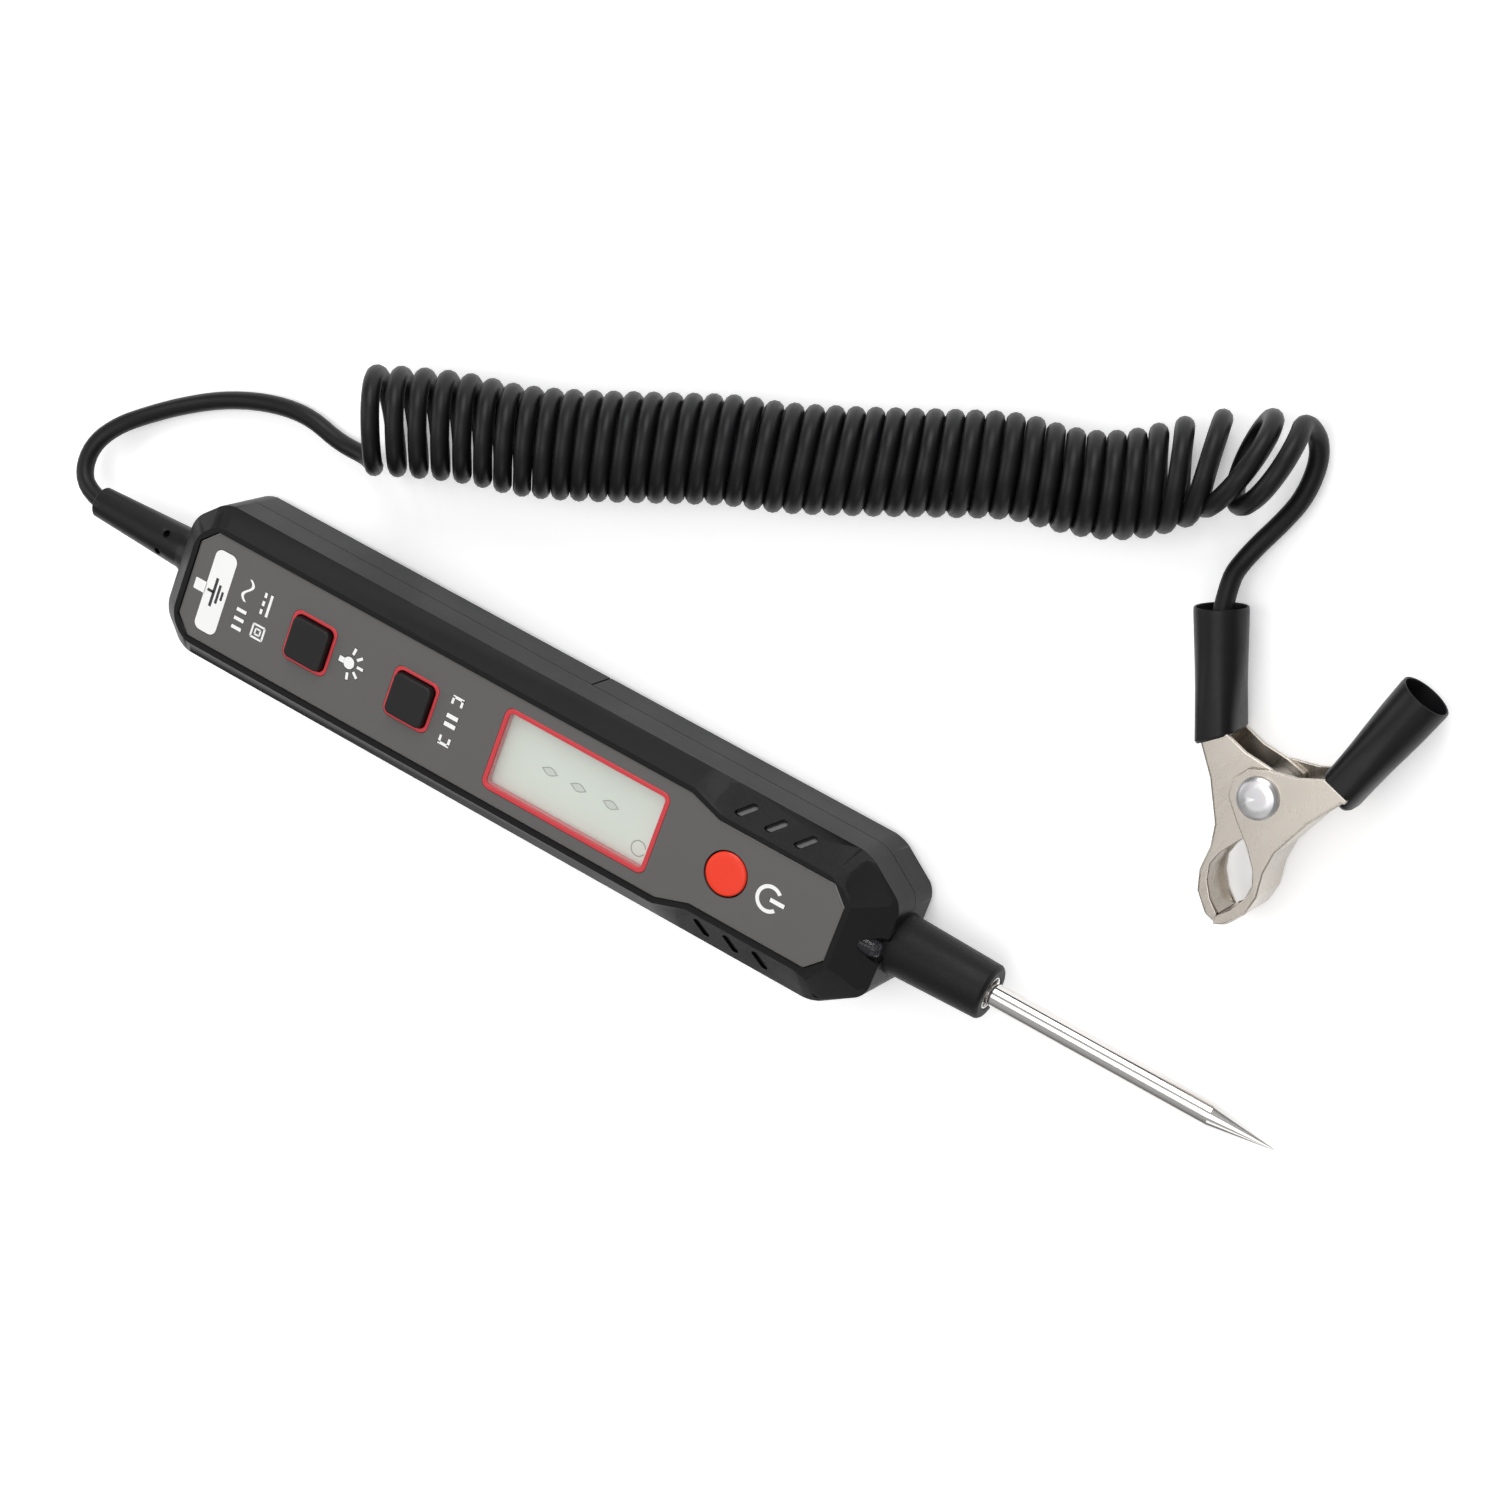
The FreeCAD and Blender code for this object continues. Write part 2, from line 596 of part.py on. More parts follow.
# ---- circuit board and what is on it -----------------------------------------------
board_plate = box("board_plate", (-50, nose_reach - 11), (-10.4, 10.4), (board_under, board_top))
board_holes = [rod(f"board_hole_{i}", boss_r + 0.2, 3, x, y, board_under - 1)
               for i, (x, y) in enumerate(boss_places)]
part("circuit_board", cut("circuit_board_plate", board_plate, *board_holes))
part("controller_chip", box("controller_chip_box", (19, 26), (-3.5, 3.5), (board_under - 1.4, board_under)))
small_parts = []
for i, (x, y, long_, wide) in enumerate([(12, 4.5, 2.0, 1.2), (12, -4.5, 2.0, 1.2), (29.5, 5.5, 1.6, 3.2),
                                         (30, -3.5, 3.0, 2.6), (43, 5.5, 3.2, 1.6), (47.5, -5.5, 3.2, 1.6),
                                         (52, 4.0, 4.5, 2.2), (16, 7.8, 1.6, 0.8), (22, -7.6, 1.6, 0.8)]):
    small_parts.append(box(f"small_part_{i}", (x, x + long_), (y - wide / 2, y + wide / 2),
                           (board_under - 0.9, board_under)))
part("board_components", group("board_component_group", *small_parts))

# ---- cells and contacts ------------------------------------------------------------
for word, y, flip in (("left", cell_y, 0), ("right", -cell_y, 1)):
    cell = turned(f"cell_{word}_turned", [(0, 0.02), (0, cell_r - 0.4), (0.4, cell_r),
                                          (cell_long - 0.4, cell_r), (cell_long, cell_r - 0.4),
                                          (cell_long, 1.9), (cell_long + 0.8, 1.9),
                                          (cell_long + 0.8, 0.02)])
    start = -42.5 if not flip else -42.5 + cell_long.value + 0.8
    part(f"battery_cell_{word}", move(cell, start, y, cell_z, UP if flip else None, 180))
contact_plates = [box(f"contact_plate_{i}", (tray_nose - 1.3, tray_nose - 0.85), (y - 4, y + 4), (3, 11))
                  for i, y in enumerate((-5.6, 5.6))]
contact_plates.append(box("contact_bridge", (tray_rear + 0.85, tray_rear + 1.25), (-10.2, 10.2), (3, 11)))
part("battery_contacts", group("battery_contact_group", *contact_plates))

# ---- nose: LED, sleeve, socket, needle ---------------------------------------------
led = turned("torch_led_turned", [(-0.9, 0.02), (-0.9, 1.75), (0, 1.75), (0, 1.5), (3.7, 1.5), (4.6, 1.25),
                                  (5.1, 0.7), (5.2, 0.02)])
part("torch_led", move(led, nose_reach - 5.3, 0, led_z))
part("led_legs", group("led_leg_pair", *[
    rod(f"led_leg_{i}", 0.24, 7.3, nose_reach - 13.5, y, board_top + 0.26, "X")
    for i, y in enumerate((-0.9, 0.9))]))

sleeve_profile = [(-2.4, socket_r + 0.02), (-2.4, 6.3), (-wall - 0.05, 6.3), (-wall - 0.05, sleeve_r),
                  (0.6, sleeve_r), (1.0, sleeve_r - 0.15), (sleeve_long - 0.5, sleeve_end_r),
                  (sleeve_long, sleeve_end_r - 0.5), (sleeve_long, socket_r + 0.02)]
sleeve = move(turned("nose_sleeve_turned", sleeve_profile), nose_reach, 0, seam)
led_flat = box("led_flat", (nose_reach - 3, nose_reach - wall), (-8, 8), (led_z - 1.6, thick))
part("nose_sleeve", cut("nose_sleeve_cut", sleeve, led_flat))
neck_r = needle_r - 0.25
socket_in = neck_r + 0.02
socket_profile = [(-11, socket_in), (-11, socket_r), (sleeve_long - 0.2, socket_r),
                  (sleeve_long - 0.1, socket_r - 0.1), (sleeve_long - 0.1, socket_r - 0.3),
                  (sleeve_long - 1.3, socket_r - 0.3), (sleeve_long - 1.3, socket_in)]
socket = turned("probe_socket_turned", socket_profile)
part("probe_socket", move(socket, nose_reach, 0, seam))

needle_from = nose_reach + sleeve_long + 0.6
needle_profile = [(nose_reach - 10, 0.02), (nose_reach - 10, neck_r), (needle_from, neck_r),
                  (needle_from, needle_r), (needle_tip - needle_point, needle_r), (needle_tip, 0.12),
                  (needle_tip, 0.02)]
part("probe_needle", move(turned("probe_needle_turned", needle_profile), 0, 0, seam))

# ---- cord end ----------------------------------------------------------------------
relief_profile = [(-relief_long, 0.02), (-relief_long, relief_end_r - 0.25),
                  (-(relief_long - 0.3), relief_end_r),
                  (-3.2, relief_r - 0.15), (-1.6, relief_r + 0.35), (-0.1, relief_r + 0.9), (-0.1, relief_r),
                  (wall + 0.1, relief_r), (wall + 0.1, relief_r + 1.2), (wall + 2.1, relief_r + 1.2),
                  (wall + 2.1, 0.02)]
relief = turned("strain_relief_turned", relief_profile)
move(relief, -rear_reach, 0, seam)
relief_holes = [rod(f"relief_hole_{i}", 0.6, 12, -(rear_reach + x), y, seam - 6)
                for i, (x, y) in enumerate(((6.2, 1.8), (6.9, -1.8)))]
part("strain_relief", cut("strain_relief_cut", relief, *relief_holes))


# ---- tubes that follow a route ------------------------------------------------------
def route_wire(points, label):
    """Straight runs joined by tangent arcs, as large as the two runs allow."""
    points = [V(*p) for p in points]
    edges = []
    start = points[0]
    radii = []
    for before, corner, after in zip(points, points[1:], points[2:]):
        way_in = (corner - before).normalize()
        way_out = (after - corner).normalize()
        turn = way_in.getAngle(way_out)
        run = min((corner - before).Length, (after - corner).Length)
        reach = 0.45 * run
        radii.append(round(reach / math.tan(turn / 2), 1))
        first = corner - way_in * reach
        last = corner + way_out * reach
        inward = (way_out - way_in).normalize()
        radius = reach / math.tan(turn / 2)
        middle = corner + inward * (radius / math.cos(turn / 2) - radius)
        if (first - start).Length > 1e-6:
            edges.append(Part.LineSegment(start, first).toShape())
        edges.append(Part.Arc(first, middle, last).toShape())
        start = last
    edges.append(Part.LineSegment(start, points[-1]).toShape())
    print(label, "arc radii", radii)
    return Part.Wire(edges)


def tube(label, points, radius):
    """A round tube swept along a route, as a plain feature of the document."""
    wire = route_wire(points, label)
    heading = wire.Edges[0].tangentAt(wire.Edges[0].FirstParameter)
    circle = Part.Wire([Part.Circle(V(*points[0]), heading, radius).toShape()])
    solid = wire.makePipeShell([circle], True, False)
    feature = doc.addObject("Part::Feature", label + "_tube")
    feature.Shape = solid
    expected = math.pi * radius ** 2 * wire.Length
    print(label, "length", round(wire.Length, 1), "volume ratio", round(solid.Volume / expected, 4))
    return feature


doc.recompute()
boot_end = boot_long.value
lean = math.radians(handle_lean.value)
turn = math.radians(clip_turn.value)
tail_start = (-(rear_reach.value + relief_long.value), 0, seam.value)
handle_foot = (10.6, 6.0)


def clip_point(x, y, z=0.0):
    """A point of the clip, given from its rivet, in the tester's frame."""
    return (clip_x.value + x * math.cos(turn) - y * math.sin(turn),
            clip_y.value + x * math.sin(turn) + y * math.cos(turn), clip_lift.value + z)


boot_mouth = clip_point(-handle_foot[0] - boot_end * math.sin(lean),
                        handle_foot[1] + boot_end * math.cos(lean), clip_tall.value / 2)

TESTER_TAIL = [tail_start, (-94.7, 0.5, 7.7), (-97.5, 3.2, 6.3), (-98.0, 7.4, 4.6), (-95.6, 11.6, 3.0),
               (-91.4, 15.4, 1.9), (-85.1, 20.2, 1.6), (-77.5, 24.9, 1.6), (-69.0, 28.2, 1.6),
               (-61.3, 29.3, 1.6), (-54.4, 27.6, 1.7), (-48.6, 28.0, 2.4), (-43.6, 31.2, 4.6)]
COIL_LINE = [(-45.4, 36.8), (-33.0, 41.6), (-19.0, 45.8), (-3.0, 51.9), (15.0, 59.9), (33.0, 66.0),
             (50.0, 74.0), (66.0, 79.9), (79.5, 85.2), (88.5, 92.0), (95.0, 98.6)]
CLIP_TAIL = [(93.8, 98.0, 9.9), (97.6, 101.4, 8.6), (101.6, 102.4, 6.4), (104.4, 99.6, 4.1), (105.0, 94.8, 2.3),
             (103.4, 90.0, 1.65), (100.6, 85.8, 2.0), (98.2, 81.8, 3.3), (96.6, 77.4, 4.9), boot_mouth]

part("lead_tail_tester", tube("lead_tail_tester", TESTER_TAIL, cord_r.value))
part("lead_coil", tube("lead_coil", [(x, y, coil_r.value) for x, y in COIL_LINE], coil_r.value))
part("lead_tail_clip", tube("lead_tail_clip", CLIP_TAIL, cord_r.value))

GROUND_WIRE = [(-65.0, 0, 8.2), (-62.6, 3.2, 9.2), (-58.0, 6.2, 11.8), (-52.8, 8.0, 14.6), (-48.5, 8.6, 14.75),
               (-45.0, 9.2, 14.7)]
PROBE_WIRE = [(60.5, 2.4, 8.2), (58.6, 2.9, 9.4), (56.2, 1.6, 11.2), (53.3, -0.6, 12.1), (50.2, -2.0, 12.3)]
part("ground_wire", tube("ground_wire", GROUND_WIRE, 0.55))
part("probe_wire", tube("probe_wire", PROBE_WIRE, 0.55))


# ---- clip ----------------------------------------------------------------------------
def jaw_plan(side):
    """A jaw seen along its rivet: handle, rivet plate, edge of the eye and nose."""
    lean_out = (math.cos(lean), -math.sin(lean))
    hx, hy = handle_foot
    half = 2.3
    outer = (hx + half * lean_out[0], hy + half * lean_out[1])
    inner = (hx - half * lean_out[0], hy - half * lean_out[1])
    points = [outer, (8.5, -0.6), (5.3, -7.0), (4.75, -10.6), (5.1, -14.6), (4.3, -17.8), (2.2, -20.4),
              (0.08, -21.3), (0.08, -19.9), (1.9, -18.1), (3.3, -15.6), (3.75, -13.2), (3.0, -10.9),
              (0.9, -7.9), (-2.1, -4.7), (-4.5, -1.7), (-4.7, 1.2), (-3.0, 3.6), (0.2, 4.6), (4.6, 5.3), inner]
    points = [(side * x, y) for x, y in points]
    return points[::-1] if side > 0 else points


def jaw_hollow(side):
    """The open side of a jaw's channel: everything inside its web."""
    hx, hy = handle_foot
    reach = 2.3 - clip_metal.value
    along = (math.sin(lean), math.cos(lean))
    web_top = (hx + reach * math.cos(lean) + 3 * along[0], hy - reach * math.sin(lean) + 3 * along[1])
    points = [web_top, (7.6, -0.3), (4.4, -6.7), (3.85, -10.6), (4.2, -14.4), (3.5, -17.3), (1.8, -19.5),
              (-1.5, -20.3), (-8, -14), (-8, 9), (4, 12)]
    points = [(side * x, y) for x, y in points]
    return points[::-1] if side > 0 else points


def jaw(name, side, low, high):
    """A stamped channel with a narrower tongue that goes into its boot."""
    block = prism(name + "_block", jaw_plan(side), low, high)
    rounded(block, 0.45, lambda e: e.BoundBox.ZLength < 1e-4 and near_web(e, side))
    space = prism(name + "_space", jaw_hollow(side), low + clip_metal, high - clip_metal)
    rivet_hole = rod(name + "_rivet_hole", rivet_r + 0.05, clip_tall + 4, 0, 0, -2)
    tongue_out = box(name + "_tongue_out", (-1.7, 1.7), (-0.5, 14),
                     (clip_tall / 2 - 2.9, clip_tall / 2 + 2.9))
    tongue_in = box(name + "_tongue_in", (-2.0 if side > 0 else -0.85, 0.85 if side > 0 else 2.0), (-1, 15),
                    (clip_tall / 2 - 2.05, clip_tall / 2 + 2.05))
    tongue = cut(name + "_tongue", tongue_out, tongue_in)
    tongue.Placement = FreeCAD.Placement(V(side * handle_foot[0], handle_foot[1], 0),
                                         FreeCAD.Rotation(UP, -side * handle_lean.value))
    closing = prism(name + "_closing", jaw_end_plate(side), low, high)
    whole = join(name + "_whole", cut(name + "_channel", block, space), closing, tongue)
    return cut(name, whole, rivet_hole)


def jaw_end_plate(side):
    """The folded shoulder where the channel narrows to its tongue."""
    hx, hy = handle_foot
    out = (math.cos(lean), -math.sin(lean))
    along = (math.sin(lean), math.cos(lean))
    half = 2.3
    points = [(hx + half * out[0], hy + half * out[1]), (hx - half * out[0], hy - half * out[1]),
              (hx - half * out[0] - 0.8 * along[0], hy - half * out[1] - 0.8 * along[1]),
              (hx + half * out[0] - 0.8 * along[0], hy + half * out[1] - 0.8 * along[1])]
    points = [(side * x, y) for x, y in points]
    return points if side > 0 else points[::-1]


def near_web(edge, side):
    """True for the flat edges along a jaw's outer side, between handle and nose."""
    mid = edge.BoundBox.Center
    x = side * mid.x
    by_handle = mid.y < 2.9 and x > 6.5
    by_eye = mid.y < -6 and x > 4.6 and edge.Length > 1
    by_nose = -19.3 < mid.y < -16 and x > 2.9
    return by_handle or by_eye or by_nose


def set_clip_place(thing):
    """Turn and place a clip piece that was drawn about its rivet."""
    thing.Placement = FreeCAD.Placement(V(0, 0, 0), FreeCAD.Rotation(UP, clip_turn.value))
    thing.setExpression("Placement.Rotation.Angle", clip_turn.text)
    move_only(thing, clip_x, clip_y, clip_lift)
    return thing


inner_low = clip_metal + clip_gap
part("clip_jaw_fixed", set_clip_place(jaw("jaw_fixed", -1, inner_low, clip_tall - inner_low)))
part("clip_jaw_moving", set_clip_place(jaw("jaw_moving", 1, size(0), clip_tall)))

rivet_shank = rod("rivet_shank", rivet_r, clip_tall + 1, 0, 0, -0.4)
rivet_foot = turned("rivet_foot_head",
                    [(-0.55, 0.02), (-0.55, 2.3), (-0.3, 2.6), (-0.05, 2.6), (-0.05, 0.02)], "Z_Axis")
washer_under = inner_low + clip_metal + 0.1
rivet_low = turned("rivet_low_head", [(washer_under, rivet_r - 0.3), (washer_under, 3.0),
                                      (washer_under + 0.5, 3.0), (washer_under + 0.5, rivet_r - 0.3)], "Z_Axis")
rivet_top = turned("rivet_top_head", [(clip_tall + 0.05, 0.02), (clip_tall + 0.05, rivet_head),
                                      (clip_tall + 0.75, rivet_head), (clip_tall + 1.15, rivet_head - 0.5),
                                      (clip_tall + 1.4, rivet_head - 1.7), (clip_tall + 1.4, 0.02)], "Z_Axis")
part("clip_rivet", set_clip_place(join("clip_rivet_solid", rivet_shank, rivet_foot, rivet_low, rivet_top)))

coil_low = inner_low + clip_metal + 0.75
coil_high = clip_tall - coil_low + 0.6
spring_coil = cut("spring_coil", rod("spring_outer", 3.1, coil_high - coil_low, 0, 0, coil_low),
                  rod("spring_inner", 2.1, coil_high - coil_low + 2, 0, 0, coil_low - 1))
spring_legs = []
for i, (angle, level) in enumerate(((-58, 3.4), (58, 7.0))):
    leg = rod(f"spring_leg_{i}", 0.5, 6.0, 0, 0, 0, "Y")
    leg.Placement = FreeCAD.Placement(V(0, 0, 0), FreeCAD.Rotation(angle, 0, -90))
    sign = -1 if angle > 0 else 1
    move_only(leg, sign * 2.6, 0.9, level)
    spring_legs.append(leg)
part("clip_spring", set_clip_place(join("clip_spring_solid", spring_coil, *spring_legs)))


def boot(name):
    """A vinyl boot: oval where it meets the jaw, round at its end, hollow inside."""
    body = doc.addObject("PartDesign::Body", name + "_body")
    sections = []
    for tag, y, wide, tall in (("mouth", 0.02, 3.9, 5.35), ("waist", 7.5, 4.1, 4.7),
                               ("end", boot_long, boot_r, boot_r)):
        sketch = flat_sketch(body, f"{name}_{tag}", "XZ_Plane", -size(y))
        wide, tall = size(wide), size(tall)
        corners = []
        for k in range(16):
            angle = 2 * math.pi * (k + 0.5) / 16
            corners.append((wide * round(math.cos(angle), 4), tall * round(math.sin(angle), 4)))
        draw_outline(sketch, corners)
        sections.append(sketch)
    feature = body.newObject("PartDesign::AdditiveLoft", name + "_loft")
    feature.Profile = sections[0]
    feature.Sections = sections[1:]
    pocket = box(name + "_pocket", (-1.9, 1.9), (-1, 14.5), (-3.1, 3.1))
    return cut(name, body, pocket)


for word, side in (("fixed", -1), ("moving", 1)):
    solid = boot(f"boot_{word}")
    foot = clip_point(side * handle_foot[0], handle_foot[1], clip_tall.value / 2)
    heading = clip_turn.value - side * handle_lean.value
    solid.Placement = FreeCAD.Placement(V(*foot), FreeCAD.Rotation(UP, heading))
    part(f"clip_boot_{word}", solid)

crimp_a = clip_point(-handle_foot[0] - 9.5 * math.sin(lean), handle_foot[1] + 9.5 * math.cos(lean),
                     clip_tall.value / 2)
crimp = rod("clip_crimp_barrel", 0.8, 4.0, 0, 0, 0, "Y")
crimp.Placement = FreeCAD.Placement(V(0, 0, 0), FreeCAD.Rotation(UP, clip_turn.value + handle_lean.value)
                                    .multiply(FreeCAD.Rotation(V(1, 0, 0), -90)))
part("clip_crimp", move_only(crimp, *crimp_a))

# ---- check and write -----------------------------------------------------------------
doc.recompute()
broken = [o.Name for o in doc.Objects if "Invalid" in o.State or "Error" in o.State]
if broken:
    raise SystemExit(f"failed objects: {broken}")
for label, thing in parts.items():
    if thing.Shape.isNull() or not thing.Shape.isValid():
        raise SystemExit(f"bad shape: {label}")
os.makedirs("parts", exist_ok=True)
for label, thing in parts.items():
    thing.Shape.exportStep(f"parts/{label}.step")
print(len(parts), "sub-parts written")
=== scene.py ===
import math

import bmesh
import bpy
from bpy.props import FloatProperty, FloatVectorProperty, IntProperty, PointerProperty
from mathutils import Matrix, Vector


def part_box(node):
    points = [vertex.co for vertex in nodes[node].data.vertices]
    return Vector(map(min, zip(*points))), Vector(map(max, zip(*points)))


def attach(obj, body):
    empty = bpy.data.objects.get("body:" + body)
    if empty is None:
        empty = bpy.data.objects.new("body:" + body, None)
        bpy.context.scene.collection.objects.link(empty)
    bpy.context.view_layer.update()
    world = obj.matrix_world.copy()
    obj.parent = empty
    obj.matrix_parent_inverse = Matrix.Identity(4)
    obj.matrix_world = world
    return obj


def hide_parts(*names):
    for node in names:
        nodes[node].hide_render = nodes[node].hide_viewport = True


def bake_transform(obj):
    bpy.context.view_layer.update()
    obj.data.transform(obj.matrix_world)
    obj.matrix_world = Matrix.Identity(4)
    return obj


bl_info = {
    "name": "Circuit test light finish",
    "version": (1, 0, 0),
    "blender": (4, 5, 0),
    "location": "3D View > Sidebar > Tester",
    "description": "Builds the curly lead, the rounded mouldings, the printed marks and the finishes of a pen tester",
    "category": "Object",
}

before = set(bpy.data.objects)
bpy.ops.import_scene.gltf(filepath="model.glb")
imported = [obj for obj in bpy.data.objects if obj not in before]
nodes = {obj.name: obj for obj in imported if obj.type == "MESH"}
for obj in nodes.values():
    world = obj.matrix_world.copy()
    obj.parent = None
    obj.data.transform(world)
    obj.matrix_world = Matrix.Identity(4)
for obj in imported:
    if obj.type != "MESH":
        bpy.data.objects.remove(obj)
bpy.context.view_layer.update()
MM = 0.001
BODY = "tester"


# ---- settings ------------------------------------------------------------------------
def length(name, description, default):
    """A length that the user may change, in metres."""
    return FloatProperty(name=name, description=description, default=default, unit="LENGTH", precision=5)


def tint(name, description, default):
    """A colour that the user may change."""
    return FloatVectorProperty(name=name, description=description, default=default, subtype="COLOR",
                               size=3, min=0, max=1)


class TesterLeadSettings(bpy.types.PropertyGroup):
    """Sizes of the curly ground lead."""
    diameter: length("Cord diameter", "Outer diameter of the cord", 0.0031)
    turn_radius: length("Turn radius", "Radius of the cord's centre line in a turn near the coil's middle", 0.0072)
    turns: FloatProperty(name="Turns", description="Number of turns in the coil", default=42.5, min=1)
    lean: FloatProperty(name="Lean", description="How far the turns lean back along the coil",
                        default=math.radians(25.5), subtype="ANGLE")
    points_per_turn: IntProperty(name="Points per turn", description="Control points in one turn",
                                 default=14, min=12)


class TesterShapeSettings(bpy.types.PropertyGroup):
    """Edge radii and the thickness of the prints."""
    body_edge: length("Housing edge", "Rounding of the housing's long edges", 0.0009)
    corner: length("Corner radius", "Rounding of the corners of the housing's outline", 0.0018)
    rim_edge: length("Rim edge", "Rounding of the rim round the face panel", 0.0003)
    panel_edge: length("Panel edge", "Chamfer round the face panel", 0.00014)
    key_edge: length("Key edge", "Rounding of the keys' top edges", 0.0002)
    jaw_edge: length("Jaw edge", "Rounding of the clip's sheet edges", 0.00018)
    ink: length("Ink thickness", "Thickness of the printed marks", 0.00003)


class TesterColourSettings(bpy.types.PropertyGroup):
    """Colours of the finishes."""
    housing: tint("Housing", "Black moulded plastic", (0.0045, 0.0044, 0.0050))
    panel: tint("Panel", "Grey-brown face film", (0.100, 0.097, 0.093))
    trim: tint("Trim", "Red trim of the display and the wells", (0.56, 0.035, 0.045))
    key: tint("Power key", "Red power key", (0.83, 0.035, 0.008))
    display: tint("Display", "Reflective display film", (0.60, 0.655, 0.585))
    ink: tint("Ink", "White print", (0.86, 0.86, 0.85))
    nickel: tint("Nickel", "Warm nickel plate of the clip", (0.54, 0.495, 0.44))
    vinyl: tint("Vinyl", "Black vinyl of the cord and boots", (0.005, 0.005, 0.0058))


# ---- shared shader groups --------------------------------------------------------------
def new_group(name, inputs, outputs):
    """A shader node group with named sockets, and its inside's input and output nodes."""
    tree = bpy.data.node_groups.new(name, "ShaderNodeTree")
    for label, kind, default in inputs:
        socket = tree.interface.new_socket(name=label, in_out="INPUT", socket_type=kind)
        if default is not None:
            socket.default_value = default
    for label, kind in outputs:
        tree.interface.new_socket(name=label, in_out="OUTPUT", socket_type=kind)
    return tree, tree.nodes.new("NodeGroupInput"), tree.nodes.new("NodeGroupOutput")


def add(tree, kind, values=None, **settings):
    """A node with its settings and the values of some of its inputs."""
    node = tree.nodes.new(kind)
    for key, value in settings.items():
        setattr(node, key, value)
    for key, value in (values or {}).items():
        node.inputs[key].default_value = value
    return node


def math_node(tree, operation, first, second):
    """A Math node: each argument is a socket or a number."""
    node = add(tree, "ShaderNodeMath", operation=operation)
    for slot, value in enumerate((first, second)):
        if isinstance(value, (int, float)):
            node.inputs[slot].default_value = value
        else:
            tree.links.new(value, node.inputs[slot])
    return node.outputs[0]


def moulded_grain():
    """Spark-eroded grain: a fine bump, and gloss that changes with it and with handling."""
    name = "Moulded grain"
    if name in bpy.data.node_groups:
        return bpy.data.node_groups[name]
    tree, inside, out = new_group(
        name,
        [("Vector", "NodeSocketVector", None), ("Scale", "NodeSocketFloat", 4500.0),
         ("Depth", "NodeSocketFloat", 0.00002), ("Roughness", "NodeSocketFloat", 0.45),
         ("Spread", "NodeSocketFloat", 0.12)],
        [("Roughness", "NodeSocketFloat"), ("Normal", "NodeSocketVector")])
    fine = add(tree, "ShaderNodeTexNoise", {"Detail": 3.0, "Roughness": 0.6})
    handled = add(tree, "ShaderNodeTexNoise", {"Scale": 90.0, "Detail": 2.0})
    bump = add(tree, "ShaderNodeBump", {"Strength": 1.0})
    link = tree.links.new
    link(inside.outputs["Vector"], fine.inputs["Vector"])
    link(inside.outputs["Scale"], fine.inputs["Scale"])
    link(inside.outputs["Vector"], handled.inputs["Vector"])
    link(fine.outputs["Fac"], bump.inputs["Height"])
    link(inside.outputs["Depth"], bump.inputs["Distance"])
    mixed = math_node(tree, "ADD", fine.outputs["Fac"], handled.outputs["Fac"])
    centred = math_node(tree, "SUBTRACT", mixed, 1.0)
    spread = math_node(tree, "MULTIPLY", centred, inside.outputs["Spread"])
    link(math_node(tree, "ADD", inside.outputs["Roughness"], spread), out.inputs["Roughness"])
    link(bump.outputs["Normal"], out.inputs["Normal"])
    return tree


def tint_drift():
    """A colour that drifts a little, as moulded and printed colours do."""
    name = "Tint drift"
    if name in bpy.data.node_groups:
        return bpy.data.node_groups[name]
    tree, inside, out = new_group(
        name,
        [("Vector", "NodeSocketVector", None), ("Colour", "NodeSocketColor", (0.5, 0.5, 0.5, 1)),
         ("Scale", "NodeSocketFloat", 60.0), ("Amount", "NodeSocketFloat", 0.15)],
        [("Colour", "NodeSocketColor")])
    noise = add(tree, "ShaderNodeTexNoise", {"Detail": 5.0, "Roughness": 0.65})
    shade = add(tree, "ShaderNodeHueSaturation")
    link = tree.links.new
    link(inside.outputs["Vector"], noise.inputs["Vector"])
    link(inside.outputs["Scale"], noise.inputs["Scale"])
    drift = math_node(tree, "MULTIPLY", math_node(tree, "SUBTRACT", noise.outputs["Fac"], 0.5),
                      inside.outputs["Amount"])
    link(math_node(tree, "ADD", drift, 1.0), shade.inputs["Value"])
    link(inside.outputs["Colour"], shade.inputs["Color"])
    link(shade.outputs["Color"], out.inputs["Colour"])
    return tree


